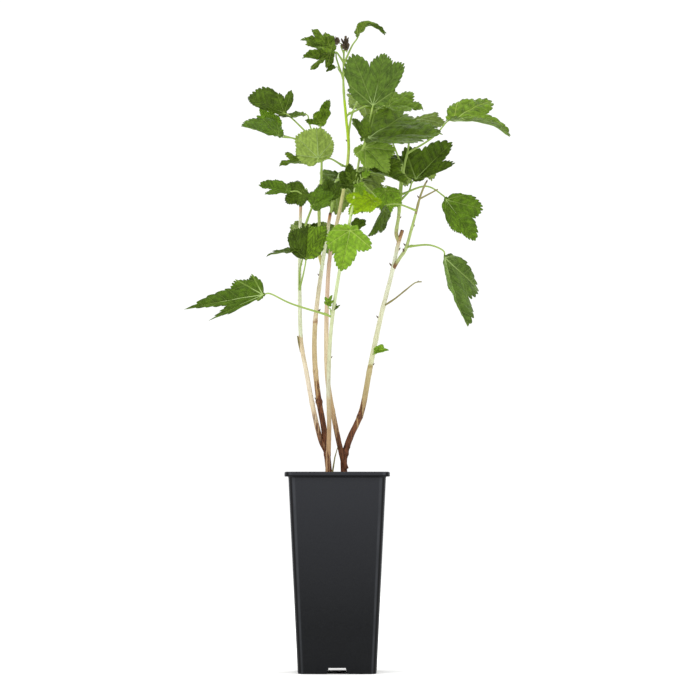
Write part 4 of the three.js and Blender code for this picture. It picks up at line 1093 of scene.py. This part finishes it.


# Blackcurrant leaf: thin, soft and satin above, paler and matt below, with pale sunken veins.
# Colours: between the veins, in deeper patches, which also carry painted shade beside the side veins, and
# along the veins, then the roughness
leafLooks = {
    "deep": ("#4c660c", "#2f4103", "#6c8236", 0.46),
    "mid": ("#517010", "#385008", "#748c3c", 0.48),
    "soft": ("#5b7826", "#41591a", "#7f954c", 0.52),
    "fresh": ("#5b7620", "#425814", "#829a46", 0.5),
    "lime": ("#759a24", "#5c7f18", "#9ab250", 0.5),
    "light": ("#9cc048", "#86aa38", "#b4cc70", 0.52),
    "bright": ("#80a204", "#6f8f02", "#a6bc40", 0.5),
    "young": ("#5c7816", "#39500a", "#8ca044", 0.52),
    "purple": ("#6a5c48", "#46382c", "#8c8468", 0.58),
}
underLook = ("#7c9240", "#6b8034", "#9cae64", 0.62)
# the first number paints shade beside the side veins, where the blade's hollows lie
paintedVeinShade, veinRelief = -0.42, 0.8  # how dark the blade is beside its side veins, and how high veins stand


def leafMaterial(name, look, sunken):
    material, tree, shader, where = newMaterial(name)
    main, patch, vein, rough = look
    marks = addNode(tree, "ShaderNodeAttribute", attribute_name="veins")
    parts = addNode(tree, "ShaderNodeSeparateXYZ", {0: marks.outputs["Vector"]})
    mainVein = addNode(tree, "ShaderNodeMapRange", {
        "Value": parts.outputs["X"], "From Min": 0.4, "From Max": 1.8, "To Min": 0.62, "To Max": 0.0},
        interpolation_type="SMOOTHSTEP")
    phase = addNode(tree, "ShaderNodeMath", {0: parts.outputs["Y"], 1: 0.5}, operation="PINGPONG")
    sideVein = addNode(tree, "ShaderNodeMapRange", {
        "Value": phase, "From Min": 0.01, "From Max": 0.09, "To Min": 0.35, "To Max": 0.0},
        interpolation_type="SMOOTHSTEP")
    net = addNode(tree, "ShaderNodeTexVoronoi", {  # cells about 2 mm across
        "Vector": where, "Scale": 480.0}, feature="DISTANCE_TO_EDGE")
    netLine = addNode(tree, "ShaderNodeMapRange", {
        "Value": net, "From Min": 0.0, "From Max": 0.14, "To Min": 0.14, "To Max": 0.0})
    bigger = addNode(tree, "ShaderNodeMath", {0: mainVein, 1: sideVein}, operation="MAXIMUM")
    lines = addNode(tree, "ShaderNodeMath", {0: bigger, 1: netLine}, operation="MAXIMUM")
    blotch = addNode(tree, "ShaderNodeTexNoise", {
        "Vector": where, "Scale": 95.0, "Detail": 5.0, "Roughness": 0.65})
    # painted shade: the blade is darker beside its side veins, mixed with random deeper patches
    patchesAndPaintedShade = addNode(tree, "ShaderNodeMath", {
        0: phase, 1: paintedVeinShade, 2: blotch}, operation="MULTIPLY_ADD")
    spread = addNode(tree, "ShaderNodeMapRange", {"Value": patchesAndPaintedShade, "From Min": 0.24, "From Max": 0.56})
    tone = layerColours(tree, main, (spread, patch))
    # each leaf's random tone, with its painted light and shade, sets how bright the blade's colour is
    value = addNode(tree, "ShaderNodeMapRange", {
        "Value": parts.outputs["Z"], "To Min": 0.84, "To Max": 1.14}, clamp=False)
    pucker = addNode(tree, "ShaderNodeTexNoise", {  # the blade puckers every 3 or 4 mm
        "Vector": where, "Scale": 270.0, "Detail": 3.0, "Roughness": 0.6})
    # painted shade and light: the pucker noise also darkens and lightens the blade's colour as light would
    # fall on the puckers
    shade = addNode(tree, "ShaderNodeMapRange", {
        "Value": pucker, "From Min": 0.34, "From Max": 0.66, "To Min": 0.82, "To Max": 1.2})
    level = addNode(tree, "ShaderNodeMath", {0: value, 1: shade}, operation="MULTIPLY")
    own = addNode(tree, "ShaderNodeHueSaturation", {"Value": level, "Color": tone})
    veined = layerColours(tree, own, (lines, vein))
    waves = addNode(tree, "ShaderNodeMath", {0: blotch, 1: pucker}, operation="ADD")
    swell = addNode(tree, "ShaderNodeMath", {
        0: waves, 1: veinRelief if sunken else -veinRelief, 2: lines}, operation="MULTIPLY_ADD")
    bump = addNode(tree, "ShaderNodeBump", {
        "Strength": 0.9, "Distance": 0.0016, "Height": swell}, invert=sunken)
    setInputs(tree, shader, {
        "Base Color": veined, "Roughness": rough, "Normal": bump, "IOR": 1.42, "Specular IOR Level": 0.15})
    return material


under = leafMaterial("blackcurrant leaf underside", underLook, False)
piles = {}
stalks, stems, ribs = [], [], []
# Stems of the sprays: one that goes on from a limb starts 1.2 mm inside its tip
sprayStems = {"inTip": 1.2, "step": 1.6, "swell": 0.18, "swellEvery": 6.5, "twig": [1.0, 0.7]}
bareTwigs = [  # a cut stub on the left cane, and a dead twiglet at the foot
    ([[-37.5, 14, 338], [-40.2, 13.6, 347], [-42.2, 13.5, 355]], [2.2, 1.6, 0.7]),
    ([[-7, -3, 198], [-4.5, -4, 214], [-2.6, -4, 226], [0.4, -4.5, 237]], [1.1, 0.9, 0.7, 0.4]),
]
for name, spray in sprays.items():
    route = spray["route"]
    leaves = ruleLeaves(route, spray["rule"]) if "rule" in spray else spray["leaves"]
    back = sprayStems["inTip"] if "tip" in spray else 0
    first = np.array(route[0]) - unit(np.array(route[1], float) - route[0]) * back
    points, run = evenRoute([first] + route[1:], sprayStems["step"])
    radii = np.linspace(spray["radii"][0], spray["radii"][1], len(points))
    radii = radii * (1 + sprayStems["swell"] * np.sin(run / sprayStems["swellEvery"]) ** 8)
    kept = bareTwigs if spray.get("bare") else stems
    kept.append((points, radii))
    for on, end in spray.get("twigs", []):
        kept.append(([routePoint(route, on), end], sprayStems["twig"]))
    for one in leaves:
        chance = (math.sin(one["base"][0] * 12.9 + one["base"][2] * 7.3) * 43758.5) % 1
        pile = piles.setdefault(one["tint"], Pile())
        pile.nodes.add(name)
        growPetiole(one, routePoint(route, one["on"]), stalks)
        growBlade(one, pile, ribs, chance)
for tint, pile in piles.items():
    upper = leafMaterial("blackcurrant leaf, " + tint, leafLooks[tint], True)
    finishPiece(makeObject("leaves_" + tint, pile, [upper, under]), pile.nodes)
print("leaves made", {tint: len(pile.faces) for tint, pile in piles.items()})


def mottled(name, dark, pale, scale, detail, rough, sheen=0.5, ridges=0):  # two tones mixed by a soft noise
    material, tree, shader, where = newMaterial(name)
    patches = addNode(tree, "ShaderNodeTexNoise", {"Vector": where, "Scale": scale, "Detail": detail})
    tone = layerColours(tree, dark, (patches, pale))
    setInputs(tree, shader, {"Base Color": tone, "Roughness": rough, "Specular IOR Level": sheen})
    if ridges:
        fine = addNode(tree, "ShaderNodeTexNoise", {"Vector": where, "Scale": ridges})
        bump = addNode(tree, "ShaderNodeBump", {"Strength": 0.3, "Distance": 0.0003, "Height": fine})
        setInputs(tree, shader, {"Normal": bump})
    return material


# Leaf stalks and soft spray stems: fleshy, smooth and pale green, with ridges about 1.4 mm apart
stalkMaterial = mottled("fresh currant leaf stalk", "#728c36", "#a4ba66", 45.0, 2.0, 0.45, 0.2, 700.0)
# Last year's thin twigs: dull, grey-brown with some green left in the skin
twigMaterial = mottled("thin weathered currant twig", "#6c5a3c", "#9a9a62", 60.0, 3.0, 0.7, 0.2)
# Leaf ribs: smooth, paler than the blade, toned every 5 mm
ribMaterial = mottled("leaf rib", "#7f9c4c", "#a2b872", 200.0, 2.0, 0.5)
finishPiece(sweepTubes("leaf_stalks", stalks, petiole["sides"], stalkMaterial))
finishPiece(sweepTubes("spray_stems", stems, petiole["sides"], stalkMaterial))
twigPiece = sweepTubes("bare_twigs", bareTwigs, petiole["sides"], twigMaterial)
finishPiece(twigPiece, ["twig_right"])
finishPiece(sweepTubes("leaf_ribs", ribs, 6, ribMaterial))
print("stalks and ribs made")

# Buds: a limb, the height in mm, the side it stands on in degrees from +X, and its length in mm
buds = {
    "rows": [("cane_left", 347, 200, 3.2), ("cane_left", 430, 20, 2.6), ("cane_brown", 287, 160, 3.4),
             ("cane_brown", 380, 340, 5.0), ("cane_brown", 420, 200, 3.0), ("cane_centre", 393, 350, 5.2),
             ("cane_centre", 332, 10, 5.0), ("cane_centre", 560, 170, 3.0), ("cane_right", 235, 330, 3.6),
             ("cane_right", 374, 175, 3.8), ("cane_right", 324, 350, 3.0), ("cane_right", 429, 190, 4.6),
             ("cane_right", 446, 10, 4.0), ("shoot_outer", 444, 250, 5.0), ("shoot_outer", 450, 170, 4.0),
             ("shoot_outer", 470, 20, 3.4), ("shoot_upright", 500, 200, 3.0), ("shoot_right", 480, 20, 3.0),
             ("cane_front", 430, 200, 3.0), ("cane_front", 330, 20, 3.0), ("cane_front", 500, 350, 3.0),
             ("spray_outer", 500, 190, 3.6), ("spray_outer", 516, 60, 4.6), ("twig_right", 411, 350, 2.6)],
    "lean": 38.0,  # degrees out from the limb
    "sunk": 0.1,
}
# Bud scales: dry and brown, mottled every 1.3 mm
budMaterial = mottled("dry currant bud scales", "#2e2412", "#6a5430", 800.0, 2.0, 0.6)


def makeBuds():
    places, turns, lengths = [], [], []
    for name, height, side, length in buds["rows"]:
        limb = limbs.get(name) or sprays[name]
        points, run = evenRoute(limb["route"], 1.0)
        row = int(np.abs(points[:, 2] - height).argmin())
        share = run[row] / run[-1]
        radius = limb["radii"][0] + (limb["radii"][1] - limb["radii"][0]) * share
        away = np.array([math.cos(math.radians(side)), math.sin(math.radians(side)), 0])
        lean = math.radians(buds["lean"])
        places.append(points[row] + away * (radius - buds["sunk"]))
        heading = Vector(away * math.sin(lean) + np.array([0, 0, math.cos(lean)]))
        turns.append(heading.to_track_quat("Z", "Y").to_euler())
        lengths.append(length * mm)
    source = plainObject("bud_spots", places, [])
    turned = source.data.attributes.new("turn", "FLOAT_VECTOR", "POINT")
    turned.data.foreach_set("vector", np.array(turns).ravel())
    sized = source.data.attributes.new("length", "FLOAT", "POINT")
    sized.data.foreach_set("value", lengths)
    tree, start = startTree("buds", {"Slimness": "NodeSocketFloat"})
    ball = addNode(tree, "GeometryNodeMeshUVSphere", {"Radius": 0.5, "Segments": 8, "Rings": 6})
    spot = addNode(tree, "GeometryNodeInputPosition")
    axes = addNode(tree, "ShaderNodeSeparateXYZ", {0: spot})
    taper = addNode(tree, "ShaderNodeMapRange", {
        "Value": axes.outputs["Z"], "From Min": -0.5, "From Max": 0.5, "To Min": 1.15, "To Max": 0.45})
    slim = addNode(tree, "ShaderNodeMath", {0: taper, 1: start.outputs["Slimness"]}, operation="MULTIPLY")
    shape = addNode(tree, "ShaderNodeCombineXYZ", {0: slim, 1: slim, 2: 1.0})
    shaped = addNode(tree, "ShaderNodeVectorMath", {
        0: spot, 1: shape, 2: (0, 0, 0.4)}, operation="MULTIPLY_ADD")
    bud = addNode(tree, "GeometryNodeSetPosition", {"Geometry": ball, "Position": shaped})
    turn = addNode(tree, "GeometryNodeInputNamedAttribute", {"Name": "turn"}, data_type="FLOAT_VECTOR")
    length = addNode(tree, "GeometryNodeInputNamedAttribute", {"Name": "length"}, data_type="FLOAT")
    placed = addNode(tree, "GeometryNodeInstanceOnPoints", {
        "Points": start.outputs["Geometry"], "Instance": bud, "Rotation": turn, "Scale": length})
    endTree(tree, placed, budMaterial)
    return bakeTree(source, tree, {"Slimness": 0.5}, "cane_buds")


finishPiece(makeBuds())
print("buds made")
